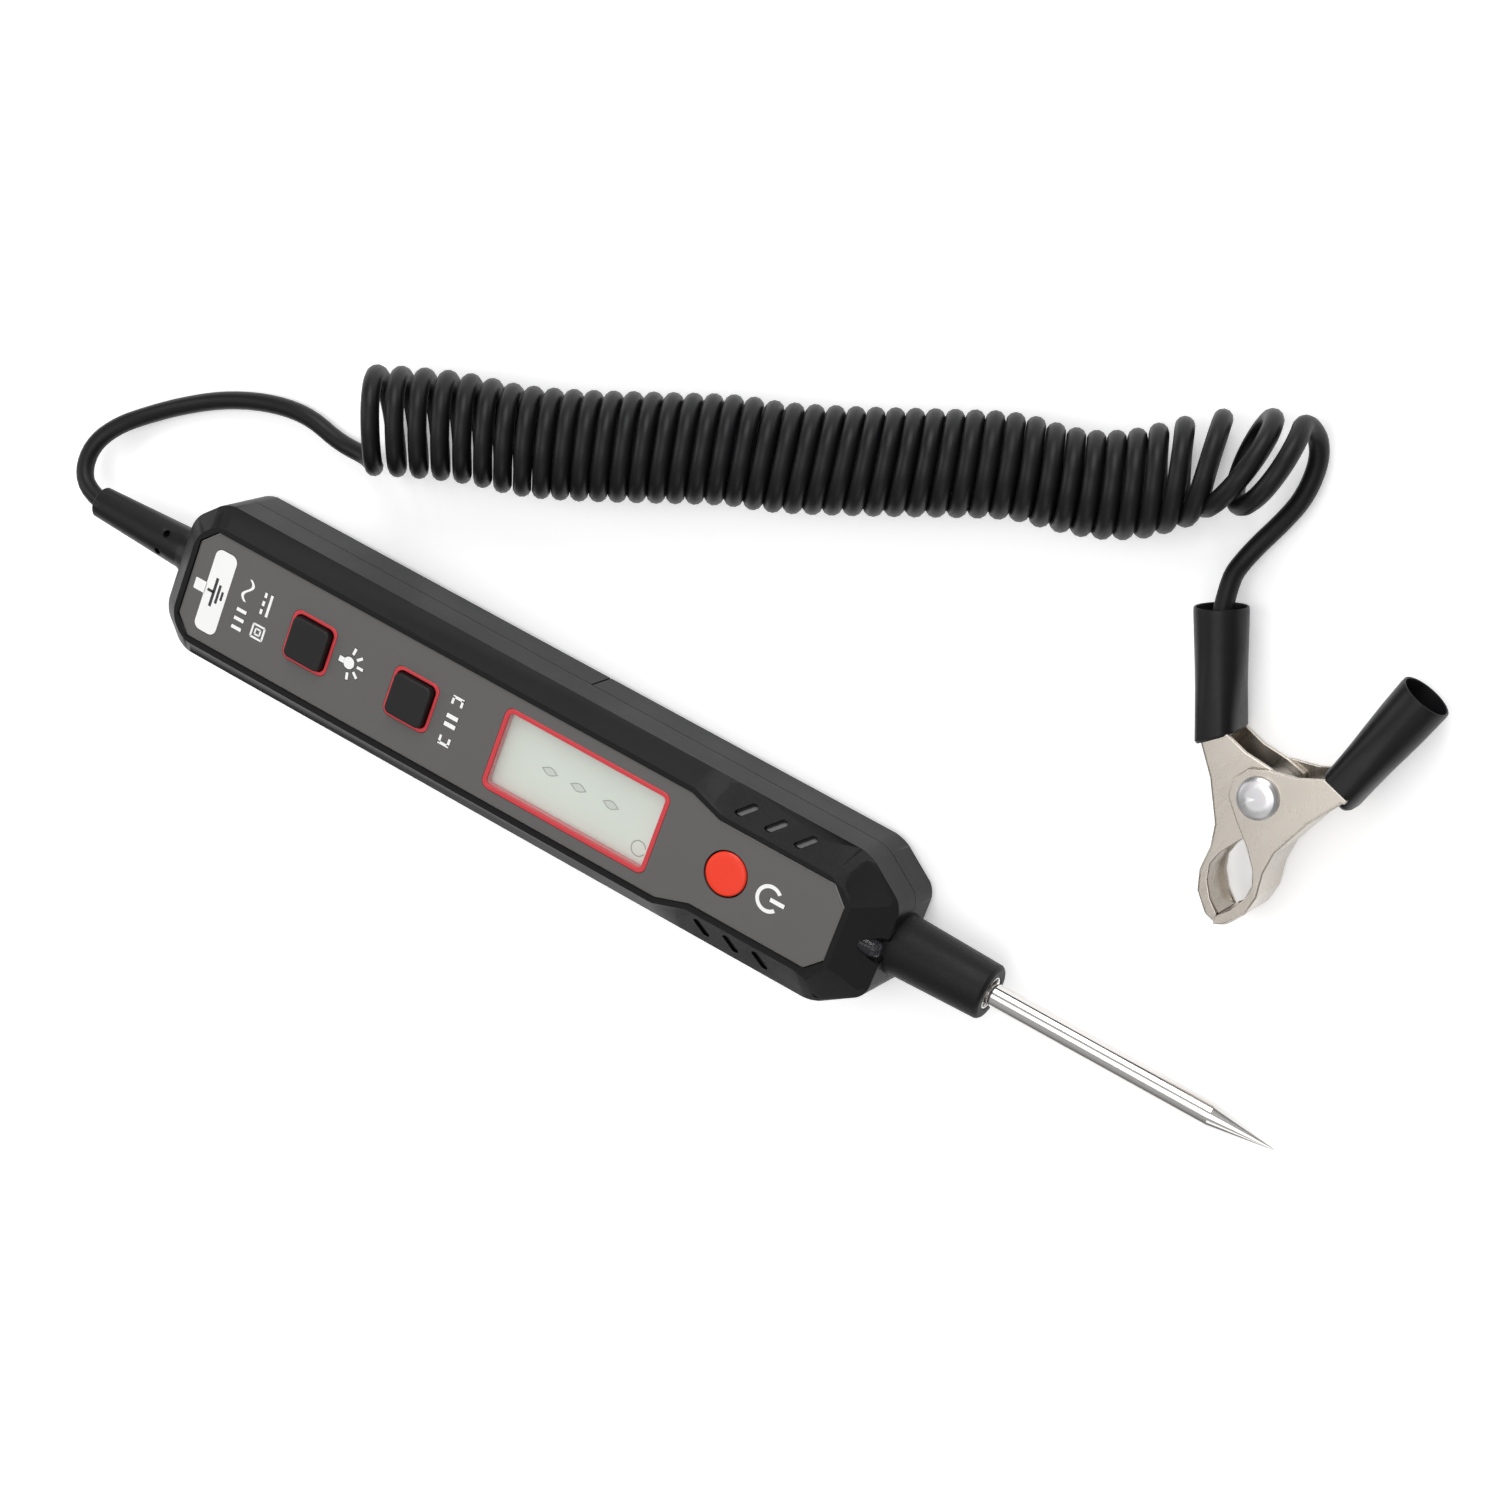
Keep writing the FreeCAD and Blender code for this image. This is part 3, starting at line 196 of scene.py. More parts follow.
def drawn_scratches():
    """Long fine scratches along one axis, for rolled and ground metal."""
    name = "Drawn scratches"
    if name in bpy.data.node_groups:
        return bpy.data.node_groups[name]
    tree, inside, out = new_group(
        name,
        [("Vector", "NodeSocketVector", None), ("Scale", "NodeSocketFloat", 900.0),
         ("Depth", "NodeSocketFloat", 0.00001), ("Roughness", "NodeSocketFloat", 0.3),
         ("Spread", "NodeSocketFloat", 0.15)],
        [("Roughness", "NodeSocketFloat"), ("Normal", "NodeSocketVector"), ("Mask", "NodeSocketFloat")])
    stretch = add(tree, "ShaderNodeMapping", {"Scale": (1.0, 0.04, 1.0)})
    lines = add(tree, "ShaderNodeTexNoise", {"Detail": 4.0, "Roughness": 0.7})
    cloud = add(tree, "ShaderNodeTexNoise", {"Scale": 160.0, "Detail": 3.0})
    ramp = add(tree, "ShaderNodeMapRange", {"From Min": 0.62, "From Max": 0.75})
    bump = add(tree, "ShaderNodeBump", {"Strength": 0.6})
    link = tree.links.new
    link(inside.outputs["Vector"], stretch.inputs["Vector"])
    link(stretch.outputs["Vector"], lines.inputs["Vector"])
    link(inside.outputs["Scale"], lines.inputs["Scale"])
    link(inside.outputs["Vector"], cloud.inputs["Vector"])
    link(lines.outputs["Fac"], bump.inputs["Height"])
    link(inside.outputs["Depth"], bump.inputs["Distance"])
    link(lines.outputs["Fac"], ramp.inputs["Value"])
    mixed = math_node(tree, "ADD", lines.outputs["Fac"], cloud.outputs["Fac"])
    spread = math_node(tree, "MULTIPLY", math_node(tree, "SUBTRACT", mixed, 1.0), inside.outputs["Spread"])
    link(math_node(tree, "ADD", inside.outputs["Roughness"], spread), out.inputs["Roughness"])
    link(bump.outputs["Normal"], out.inputs["Normal"])
    link(ramp.outputs["Result"], out.inputs["Mask"])
    return tree


def place(tree, group, vector, values):
    """A shared group's node inside a material, with its own values."""
    node = add(tree, "ShaderNodeGroup", node_tree=group)
    for key, value in values.items():
        node.inputs[key].default_value = value
    tree.links.new(vector, node.inputs["Vector"])
    return node


def blank_material(name, turn=0.0):
    """A node material, its tree, its Principled node and its Object coordinates."""
    material = bpy.data.materials.new(name)
    material.use_nodes = True
    tree = material.node_tree
    shader = tree.nodes["Principled BSDF"]
    coords = add(tree, "ShaderNodeTexCoord")
    mapping = add(tree, "ShaderNodeMapping", {"Rotation": (0.0, 0.0, turn)})
    tree.links.new(coords.outputs["Object"], mapping.inputs["Vector"])
    return material, tree, shader, mapping.outputs["Vector"]


def plastic(name, colour, roughness, grain=0.00002, scale=4500.0, spread=0.12, drift=0.2, sheen=0.5, coat=0.0):
    """A moulded or printed plastic with grain, gloss variation and a little colour drift."""
    if name in bpy.data.materials:
        return bpy.data.materials[name]
    material, tree, shader, vector = blank_material(name)
    surface = place(tree, moulded_grain(), vector,
                    {"Scale": scale, "Depth": grain, "Roughness": roughness, "Spread": spread})
    colours = place(tree, tint_drift(), vector, {"Colour": (*colour, 1), "Scale": 70.0, "Amount": drift})
    tree.links.new(surface.outputs["Roughness"], shader.inputs["Roughness"])
    tree.links.new(surface.outputs["Normal"], shader.inputs["Normal"])
    tree.links.new(colours.outputs["Colour"], shader.inputs["Base Color"])
    shader.inputs["Specular IOR Level"].default_value = sheen
    if coat:
        shader.inputs["Coat Weight"].default_value = coat
        shader.inputs["Coat Roughness"].default_value = 0.12
    return material


def metal(name, colour, roughness, scale=900.0, depth=0.000008, spread=0.12, turn=0.0, drift=0.1):
    """A plated or ground metal with drawn scratches."""
    if name in bpy.data.materials:
        return bpy.data.materials[name]
    material, tree, shader, vector = blank_material(name, turn)
    surface = place(tree, drawn_scratches(), vector,
                    {"Scale": scale, "Depth": depth, "Roughness": roughness, "Spread": spread})
    colours = place(tree, tint_drift(), vector, {"Colour": (*colour, 1), "Scale": 120.0, "Amount": drift})
    tree.links.new(surface.outputs["Roughness"], shader.inputs["Roughness"])
    tree.links.new(surface.outputs["Normal"], shader.inputs["Normal"])
    tree.links.new(colours.outputs["Colour"], shader.inputs["Base Color"])
    shader.inputs["Metallic"].default_value = 1.0
    return material


def clear(name, colour, alpha, roughness=0.06):
    """A thin clear window: mostly see-through, with a glossy face."""
    if name in bpy.data.materials:
        return bpy.data.materials[name]
    material, tree, shader, vector = blank_material(name)
    surface = place(tree, moulded_grain(), vector,
                    {"Scale": 700.0, "Depth": 0.000001, "Roughness": roughness, "Spread": 0.04})
    tree.links.new(surface.outputs["Roughness"], shader.inputs["Roughness"])
    shader.inputs["Base Color"].default_value = (*colour, 1)
    shader.inputs["Alpha"].default_value = alpha
    return material


def colours():
    """The colour settings."""
    return bpy.context.scene.tester_colours


def housing_black():
    return plastic("Housing black", colours().housing, 0.44, grain=0.000012, scale=5200.0, sheen=0.22)


def grained_black():
    return plastic("Grained grip black", [c * 1.15 for c in colours().housing], 0.5, grain=0.00007, scale=2600.0,
                   spread=0.25, sheen=0.22)


def slot_grey():
    return plastic("Slot floor grey", (0.028, 0.027, 0.028), 0.3, grain=0.00001, scale=3000.0)


def panel_film():
    return plastic("Face film", colours().panel, 0.40, grain=0.000004, scale=6000.0, spread=0.06, drift=0.06)


def panel_edge_highlight():
    # Painted highlight: the panel's chamfer faces get this light grey in place of the light they catch along the
    # edge.
    return plastic("Face film painted edge highlight", (0.30, 0.295, 0.285), 0.35, grain=0.000002, drift=0.1)


def red_trim():
    return plastic("Red trim", colours().trim, 0.38, grain=0.000004, spread=0.08, drift=0.12, coat=0.2)


def red_key():
    return plastic("Red key", colours().key, 0.42, grain=0.000006, scale=3500.0, spread=0.1, drift=0.08)


def black_key():
    return plastic("Black key rubber", (0.009, 0.009, 0.0095), 0.48, grain=0.00001, scale=3800.0, spread=0.1,
                   sheen=0.3)


def black_vinyl():
    return plastic("Black vinyl", colours().vinyl, 0.40, grain=0.00002, scale=900.0, spread=0.14, drift=0.25,
                   sheen=0.25)


def cord_vinyl():
    return plastic("Cord vinyl", colours().vinyl, 0.43, grain=0.000012, scale=1400.0, spread=0.16, drift=0.25,
                   sheen=0.25)


def white_ink():
    return plastic("White ink", colours().ink, 0.45, grain=0.000003, spread=0.08, drift=0.05)


def shadow_ink():
    return plastic("Dark ink", (0.03, 0.03, 0.031), 0.45, grain=0.000003, spread=0.08, drift=0.05)


def nickel(turn=0.0, name="Nickel plate"):
    return metal(name, colours().nickel, 0.27, scale=1100.0, depth=0.000003, turn=turn, spread=0.14)


def bright_chrome():
    return metal("Bright chrome", (0.80, 0.79, 0.78), 0.12, scale=1500.0, depth=0.000003, spread=0.06)


# ---- shared mesh work ------------------------------------------------------------------
def merged(node):
    """A mesh of a CAD node with its loose triangles joined and its flat faces whole."""
    mesh = bmesh.new()
    mesh.from_mesh(nodes[node].data)
    bmesh.ops.remove_doubles(mesh, verts=mesh.verts, dist=0.002 * MM)
    bmesh.ops.dissolve_limit(mesh, angle_limit=math.radians(0.5), verts=mesh.verts, edges=mesh.edges)
    return mesh


def round_edges(mesh, wanted, radius, segments=3, clamp=True):
    """Round the sharp outer edges that the test accepts."""
    picked = [e for e in mesh.edges if len(e.link_faces) == 2 and e.is_convex
              and e.calc_face_angle(0) > math.radians(14) and wanted(e)]
    if picked:
        bmesh.ops.bevel(mesh, geom=picked, offset=radius, offset_type="OFFSET", segments=segments, profile=0.5,
                        affect="EDGES", clamp_overlap=clamp, material=-1, loop_slide=True)
    return mesh


def middle(edge):
    """An edge's midpoint."""
    return (edge.verts[0].co + edge.verts[1].co) / 2


def finish_piece(mesh, name, materials, body, replaced=(), sharp=35, weighted=True):
    """Turn a bmesh into a shaded piece that stands for CAD nodes and rides on a body, if one is given."""
    data = bpy.data.meshes.new(name)
    mesh.to_mesh(data)
    mesh.free()
    for material in materials:
        data.materials.append(material)
    data.shade_smooth()
    data.set_sharp_from_angle(angle=math.radians(sharp))
    piece = bpy.data.objects.new(name, data)
    bpy.context.scene.collection.objects.link(piece)
    if weighted:
        shade = piece.modifiers.new("Even shading", "WEIGHTED_NORMAL")
        shade.keep_sharp = True
    if body:
        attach(piece, body)
    if replaced:
        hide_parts(*replaced)
    return piece


def smooth_copy(node, name, material, body, radius=0, wanted=lambda e: True, sharp=35, clamp=True):
    """A CAD node's own shape, joined up, with softened edges and its finish."""
    mesh = merged(node)
    if radius:
        round_edges(mesh, wanted, radius, 2, clamp)
    return finish_piece(mesh, name, [material], body, (node,), sharp)


def spun(profile, steps=64):
    """A closed turned shape about the X axis: profile points are (along, radius)."""
    mesh = bmesh.new()
    verts = [mesh.verts.new((x, max(r, 0), 0)) for x, r in profile]
    edges = [mesh.edges.new(pair) for pair in zip(verts, verts[1:])]
    bmesh.ops.spin(mesh, geom=verts + edges, cent=(0, 0, 0), axis=(1, 0, 0), dvec=(0, 0, 0),
                   angle=math.tau, steps=steps, use_merge=True)
    bmesh.ops.remove_doubles(mesh, verts=mesh.verts, dist=1e-7)
    bmesh.ops.recalc_face_normals(mesh, faces=mesh.faces)
    return mesh


def plate(mesh, outline, low, high, material=0):
    """A flat plate with a closed outline, between two heights."""
    face = mesh.faces.new([mesh.verts.new((x, y, low)) for x, y in outline])
    face.normal_update()
    if face.normal.z > 0:
        face.normal_flip()
    lifted = bmesh.ops.extrude_face_region(mesh, geom=[face], use_keep_orig=True)
    top = [v for v in lifted["geom"] if isinstance(v, bmesh.types.BMVert)]
    bmesh.ops.translate(mesh, vec=(0, 0, high - low), verts=top)
    faces = {f for v in top for f in v.link_faces} | {face}
    bmesh.ops.recalc_face_normals(mesh, faces=list(faces))
    for f in faces:
        f.material_index = material
    return mesh


def arc_points(x, y, r, start, end, count):
    """Points on a circle from one angle to another, in degrees."""
    return [(x + r * math.cos(math.radians(start + (end - start) * k / count)),
             y + r * math.sin(math.radians(start + (end - start) * k / count))) for k in range(count + 1)]


def rounded_rectangle(x0, x1, y0, y1, r, count=6):
    """The outline of a rectangle with round corners."""
    return (arc_points(x1 - r, y1 - r, r, 0, 90, count) + arc_points(x0 + r, y1 - r, r, 90, 180, count)
            + arc_points(x0 + r, y0 + r, r, 180, 270, count) + arc_points(x1 - r, y0 + r, r, 270, 360, count))


def ring_part(x, y, inner, outer, start, end, count=28):
    """The outline of part of a ring."""
    return arc_points(x, y, outer, start, end, count) + arc_points(x, y, inner, start, end, count)[::-1]


def bar(x0, y0, x1, y1, width):
    """The outline of a straight bar between two points."""
    along = Vector((x1 - x0, y1 - y0)).normalized() * width / 2
    side = Vector((-along.y, along.x))
    return [(x0 + side.x, y0 + side.y), (x0 - side.x, y0 - side.y),
            (x1 - side.x, y1 - side.y), (x1 + side.x, y1 + side.y)]


# ---- stage -----------------------------------------------------------------------------
class TESTER_OT_stage(bpy.types.Operator):
    """Set up the camera, the pale floor and the soft lights"""
    bl_idname = "tester.stage"
    bl_label = "Stage"

    def execute(self, context):
        camera = bpy.data.cameras.new("Camera")
        camera.lens = 96.0
        camera.sensor_width = 36.0
        camera.clip_start = 0.02
        view = bpy.data.objects.new("Camera", camera)
        right = Vector((0.82931, 0.33396, -0.44775))
        back = Vector((0.33164, 0.35061, 0.87591)).normalized()
        right = (right - back * right.dot(back)).normalized()
        turn = Matrix((right, back.cross(right), back)).transposed().to_4x4()
        view.matrix_world = Matrix.Translation((0.248466, 0.240740, 0.567825)) @ turn
        context.scene.collection.objects.link(view)
        context.scene.camera = view
        context.scene.view_settings.view_transform = "Standard"
        floor_mesh = bmesh.new()
        bmesh.ops.create_grid(floor_mesh, x_segments=2, y_segments=2, size=3.0)
        bmesh.ops.translate(floor_mesh, vec=(0, 0, -0.05 * MM), verts=floor_mesh.verts)
        data = bpy.data.meshes.new("floor")
        floor_mesh.to_mesh(data)
        floor_mesh.free()
        data.materials.append(plastic("Pale floor", (0.97, 0.97, 0.97), 0.8, grain=0.0, drift=0.0, sheen=0.1))
        glow = data.materials[0].node_tree.nodes["Principled BSDF"].inputs
        glow["Emission Color"].default_value = (1, 1, 1, 1)
        glow["Emission Strength"].default_value = 0.30
        floor = bpy.data.objects.new("floor", data)
        context.scene.collection.objects.link(floor)
        middle_of_object = Vector((0.02, 0.04, 0.01))
        for name, place_, size, energy in (("Far softbox", (-0.15, 0.95, 0.55), 0.7, 6.5),
                                           ("Top softbox", (0.10, 0.10, 1.10), 0.8, 4.0),
                                           ("Left softbox", (-0.90, -0.10, 0.60), 0.6, 2.4),
                                           ("Near fill", (0.45, -0.80, 0.60), 0.6, 1.3)):
            light = bpy.data.lights.new(name, "AREA")
            light.size = size
            light.energy = energy
            lamp = bpy.data.objects.new(name, light)
            lamp.location = place_
            aim = middle_of_object - Vector(place_)
            lamp.rotation_euler = aim.to_track_quat("-Z", "Y").to_euler()
            context.scene.collection.objects.link(lamp)
        world = bpy.data.worlds.new("Studio")
        world.use_nodes = True
        tree = world.node_tree
        coords = add(tree, "ShaderNodeTexCoord")
        height = add(tree, "ShaderNodeSeparateXYZ")
        sky = add(tree, "ShaderNodeMapRange", {"From Min": 0.1, "From Max": 0.75, "To Min": 0.16, "To Max": 0.48})
        tree.links.new(coords.outputs["Generated"], height.inputs["Vector"])
        tree.links.new(height.outputs["Z"], sky.inputs["Value"])
        tree.links.new(sky.outputs["Result"], tree.nodes["Background"].inputs["Strength"])
        tree.nodes["Background"].inputs["Color"].default_value = (1, 1, 1, 1)
        context.scene.world = world
        return {"FINISHED"}


# ---- curly lead ------------------------------------------------------------------------
TESTER_TAIL = [(-0.0910, 0.0000, 0.0082), (-0.0947, 0.0005, 0.0077), (-0.0975, 0.0032, 0.0063),
               (-0.0980, 0.0074, 0.0046), (-0.0956, 0.0116, 0.0030), (-0.0914, 0.0154, 0.0019),
               (-0.0851, 0.0202, 0.0016), (-0.0775, 0.0249, 0.0016), (-0.0690, 0.0282, 0.0016),
               (-0.0613, 0.0293, 0.0016), (-0.0544, 0.0276, 0.0017), (-0.0486, 0.0280, 0.0024),
               (-0.0462, 0.0280, 0.0038), (-0.0446, 0.0286, 0.0059)]
COIL_LINE = [(-0.0468, 0.0362), (-0.0459, 0.0366), (-0.0369, 0.0402), (-0.0283, 0.0432), (-0.0203, 0.0448),
             (-0.0098, 0.0488), (0.0068, 0.0562), (0.0166, 0.0605), (0.0232, 0.0622), (0.0362, 0.0677),
             (0.0486, 0.0733), (0.0606, 0.0786), (0.0670, 0.0795), (0.0734, 0.0812), (0.0792, 0.0842),
             (0.0818, 0.0862), (0.0850, 0.0888), (0.0881, 0.0915), (0.0936, 0.0951), (0.0977, 0.0964),
             (0.0982, 0.0966)]
RADII = [(0, 1.076), (0.22, 1.042), (0.45, 1.014), (0.70, 0.951), (0.82, 0.924), (0.90, 0.972), (0.95, 1.007),
         (0.971, 1.042), (1, 0.986)]
HEADINGS = [(0, 28), (0.12, 22), (0.25, 18), (0.55, 12), (0.72, 17), (0.90, 19.5), (0.924, 17), (0.947, 11),
            (0.971, -14), (0.994, -10), (1, -10)]
SPACINGS = [(0, 1.42), (0.03, 1.25), (0.08, 1.22), (0.13, 1.1), (0.2, 1.03), (0.5, 1.0), (0.85, 0.97), (0.90, 1.0),
            (0.93, 1.2), (0.955, 1.6), (0.965, 1.9), (0.985, 1.4), (1, 1.3)]
CLIP_TAIL = [(0.1001, 0.1034, 0.0058), (0.1014, 0.1016, 0.0034), (0.1026, 0.0981, 0.0025),
             (0.1026, 0.0924, 0.0025), (0.1008, 0.0873, 0.0021), (0.0988, 0.0827, 0.0022),
             (0.0977, 0.0792, 0.0030), (0.0974, 0.0764, 0.0044)]


def nurbs_curve(name, points):
    """A curve of one open NURBS spline through control points."""
    curve = bpy.data.curves.new(name, "CURVE")
    curve.dimensions = "3D"
    spline = curve.splines.new("NURBS")
    spline.points.add(len(points) - 1)
    for point, place_ in zip(spline.points, points):
        point.co = (*place_, 1)
    spline.order_u = 3
    spline.use_endpoint_u = True
    return curve


def smooth_line(points):
    """Points along the smooth curve that control points give."""
    curve = nurbs_curve("line", points)
    curve.resolution_u = 40
    holder = bpy.data.objects.new("line", curve)
    line = bpy.data.meshes.new_from_object(holder)
    found = [v.co.copy() for v in line.vertices]
    bpy.data.objects.remove(holder)
    bpy.data.curves.remove(curve)
    bpy.data.meshes.remove(line)
    return found


def point_at(line, distances, distance):
    """The point of a line at a distance along it."""
    k = next((i for i, d in enumerate(distances) if d >= distance), len(distances) - 1)
    k = max(k, 1)
    span = distances[k] - distances[k - 1]
    share = (distance - distances[k - 1]) / span if span else 0
    return line[k - 1].lerp(line[k], min(max(share, 0), 1))


def keyed(keys, share):
    """The value at a share of the coil's length, between the keys on both sides of it."""
    for (start, first), (end, last) in zip(keys, keys[1:]):
        if share <= end:
            return first + (last - first) * (share - start) / (end - start)
    return keys[-1][1]


def helix(settings):
    """Control points of the coil's turns, which lean and wind along its line on the floor."""
    line = smooth_line([(x, y, 0) for x, y in COIL_LINE])
    distances = [0.0]
    for before, after in zip(line, line[1:]):
        distances.append(distances[-1] + (after - before).length)
    count = round(settings.turns * settings.points_per_turn)
    weights = [keyed(SPACINGS, (k + 0.5) / count) for k in range(count)]
    per_weight = distances[-1] / sum(weights)
    step = math.tau / settings.points_per_turn
    pull = 0.75 + 0.25 * math.cos(step)
    lean = settings.lean
    found = []
    along = 0.0
    for k in range(count + 1):
        angle = math.pi / 2 + step * k
        heading = math.radians(keyed(HEADINGS, k / count))
        side = Vector((-math.sin(heading), math.cos(heading), 0))
        up = Vector((math.sin(lean) * math.cos(heading), math.sin(lean) * math.sin(heading), math.cos(lean)))
        radius = settings.turn_radius * keyed(RADII, k / count)
        centre = point_at(line, distances, along)
        centre.z = settings.diameter / 2 + radius * math.cos(lean) + 0.03 * MM
        found.append(centre - radius / pull * (math.cos(angle) * up + math.sin(angle) * side))
        if k < count:
            along += weights[k] * per_weight
    return found


class TESTER_OT_lead(bpy.types.Operator):
    """Build the curly ground lead as one cord from the strain relief to the clip"""
    bl_idname = "tester.lead"
    bl_label = "Curly lead"

    def execute(self, context):
        settings = context.scene.tester_lead
        reach = BOOT_LONG - 1.5
        boot_mouth = clip_point(-BOOT_FOOT[0] - reach * math.sin(HANDLE_LEAN),
                                BOOT_FOOT[1] + reach * math.cos(HANDLE_LEAN), 5.5)
        route = TESTER_TAIL + [tuple(p) for p in helix(settings)] + CLIP_TAIL + [tuple(boot_mouth)]
        curve = nurbs_curve("curly_lead", route)
        curve.bevel_depth = settings.diameter / 2
        curve.bevel_resolution = 4
        curve.resolution_u = 4
        curve.use_fill_caps = True
        curve.materials.append(cord_vinyl())
        piece = bpy.data.objects.new("curly_lead", curve)
        context.scene.collection.objects.link(piece)
        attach(piece, BODY)
        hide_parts("lead_tail_tester", "lead_coil", "lead_tail_clip")
        return {"FINISHED"}


# ---- housing ---------------------------------------------------------------------------
SEAM = 8.2 * MM
BEVEL_FOOT = 14.5 * MM
RIM = 18.2 * MM
WAIST_TO = 39.8 * MM
SLOT_NEAR = 9.4 * MM
SLOT_FAR = 12.3 * MM


def faces_out(face, point):
    """True if a face looks away from the housing's middle line."""
    inner = Vector((min(max(point.x, -60 * MM), 60 * MM), 0, 9 * MM))
    return face.normal.dot(point - inner) > 0


def by_slots(point):
    """True near the slanted slots in the bevel."""
    return SLOT_NEAR < abs(point.y) < SLOT_FAR and WAIST_TO - 2 * MM < point.x < 60 * MM and point.z < RIM - 0.1 * MM


def outer_edge(edge):
    """True for the housing's long outside edges, clear of the slots and the lamp."""
    point = middle(edge)
    if any(by_slots(v.co) for v in edge.verts):
        return False
    if point.x > 66 * MM and abs(point.y) < 5 * MM and point.z > 9 * MM:
        return False
    if edge.calc_length() < 0.8 * MM:
        return False
    return all(faces_out(f, point) for f in edge.link_faces)


def rim_edge(edge):
    """True for the rim's edges, round the recess of the face panel."""
    return all(abs(v.co.z - RIM) < 0.01 * MM for v in edge.verts)


def corner_edge(edge):
    """True for the upright edges at the corners of the housing's outline."""
    along = edge.verts[1].co - edge.verts[0].co
    return (outer_edge(edge) and abs(along.z) > 0.5 * along.length and edge.calc_length() > 2.2 * MM
            and abs(middle(edge).x - 30 * MM) > 12 * MM)


class TESTER_OT_housing(bpy.types.Operator):
    """Build the two shells, the battery door and their screws"""
    bl_idname = "tester.housing"
    bl_label = "Housing"

    def execute(self, context):
        shape = context.scene.tester_shape
        front = merged("front_shell")
        round_edges(front, corner_edge, shape.corner, 5, False)
        round_edges(front, lambda e: outer_edge(e) and not rim_edge(e) and middle(e).z > SEAM + 1 * MM,
                    shape.body_edge)
        round_edges(front, lambda e: rim_edge(e) and not any(by_slots(v.co) for v in e.verts), shape.rim_edge, 2)
        for face in front.faces:
            point = face.calc_center_median()
            rim_drop = (abs(point.y) - 8.65 * MM) * 3.7 / 4.95
            depth = RIM - rim_drop - point.z
            slanted = 0.3 < face.normal.z < 0.95 and point.x > WAIST_TO - 6 * MM
            if slanted and by_slots(point) and depth > 0.8 * MM:
                face.material_index = 2
            elif slanted and abs(point.y) > 8.7 * MM and abs(point.x - 51 * MM) < 13 * MM:
                face.material_index = 1
        finish_piece(front, "front_shell_body", [housing_black(), grained_black(), slot_grey()], BODY,
                     ("front_shell",))
        for node in ("back_shell", "battery_door"):
            mesh = merged(node)
            round_edges(mesh, corner_edge, shape.corner, 5, False)
            round_edges(mesh, lambda e: outer_edge(e) and abs(middle(e).z - SEAM) > 0.5 * MM, shape.body_edge)
            finish_piece(mesh, node + "_body", [housing_black()], BODY, (node,))
        steel = metal("Black zinc", (0.09, 0.09, 0.095), 0.35)
        for node in ("housing_screws", "door_screw"):
            smooth_copy(node, node + "_heads", steel, BODY, 0.12 * MM, lambda e: middle(e).z < 1.2 * MM)
        return {"FINISHED"}


# ---- face panel and prints -------------------------------------------------------------
class TESTER_OT_face_panel(bpy.types.Operator):
    """Build the grey face film, with a painted highlight on its chamfered edge"""
    bl_idname = "tester.face_panel"
    bl_label = "Face panel"

    def execute(self, context):
        mesh = merged("face_panel")
        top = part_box("face_panel")[1].z
        outline_only = lambda e: (all(abs(v.co.z - top) < 0.01 * MM for v in e.verts)
                                  and abs(middle(e).y) > 4.5 * MM and not inner_opening(middle(e)))
        round_edges(mesh, outline_only, context.scene.tester_shape.panel_edge, 1)
        # The slanted chamfer faces take slot 1, the painted edge highlight.
        for face in mesh.faces:
            if 0.3 < face.normal.z < 0.9:
                face.material_index = 1
        finish_piece(mesh, "face_film", [panel_film(), panel_edge_highlight()], BODY, ("face_panel",), 30, False)
        return {"FINISHED"}


def inner_opening(point):
    """True on the edge of the panel's own openings."""
    return -45 * MM < point.x < 32 * MM and abs(point.y) < 7.6 * MM


def mark(mesh, outline, level, halo=0.16):
    """One white mark with a thin dark halo under it; outlines are in millimetres."""
    middle_x = sum(x for x, y in outline) / len(outline)
    middle_y = sum(y for x, y in outline) / len(outline)
    ink = bpy.context.scene.tester_shape.ink
    plate(mesh, [(x * MM, y * MM) for x, y in outline], level + ink * 0.4, level + ink)
    if halo:
        grown = []
        for x, y in outline:
            away = Vector((x - middle_x, y - middle_y))
            away = away.normalized() * halo if away.length else away
            grown.append(((x + away.x) * MM, (y + away.y) * MM))
        plate(mesh, grown, level - ink * 0.4, level + ink * 0.4, 1)


def wave(x, y0, y1, height, width, count=24):
    """The outline of one wave drawn along Y."""
    line = [(x + height * math.sin(math.tau * k / count), y0 + (y1 - y0) * k / count) for k in range(count + 1)]
    return [(px + width / 2, py) for px, py in line] + [(px - width / 2, py) for px, py in line[::-1]]


def badge_marks(mesh, level):
    """The rounded badge with its stub toward the cord, and an earth symbol on it."""
    outline = rounded_rectangle(-61.1, -56.7, -7.6, 7.1, 1.3)
    mark(mesh, outline, level)
    mark(mesh, rounded_rectangle(-63.3, -61.0, -1.4, 0.6, 0.15, 2), level, 0)
    ink = bpy.context.scene.tester_shape.ink
    dark = [bar(-60.6, -0.4, -59.3, -0.4, 0.5), bar(-59.3, -3.0, -59.3, 2.2, 0.55),
            bar(-58.4, -2.1, -58.4, 1.3, 0.5), bar(-57.6, -1.2, -57.6, 0.4, 0.45)]
    for shape in dark:
        plate(mesh, [(x * MM, y * MM) for x, y in shape], level + ink, level + ink * 1.5, 1)


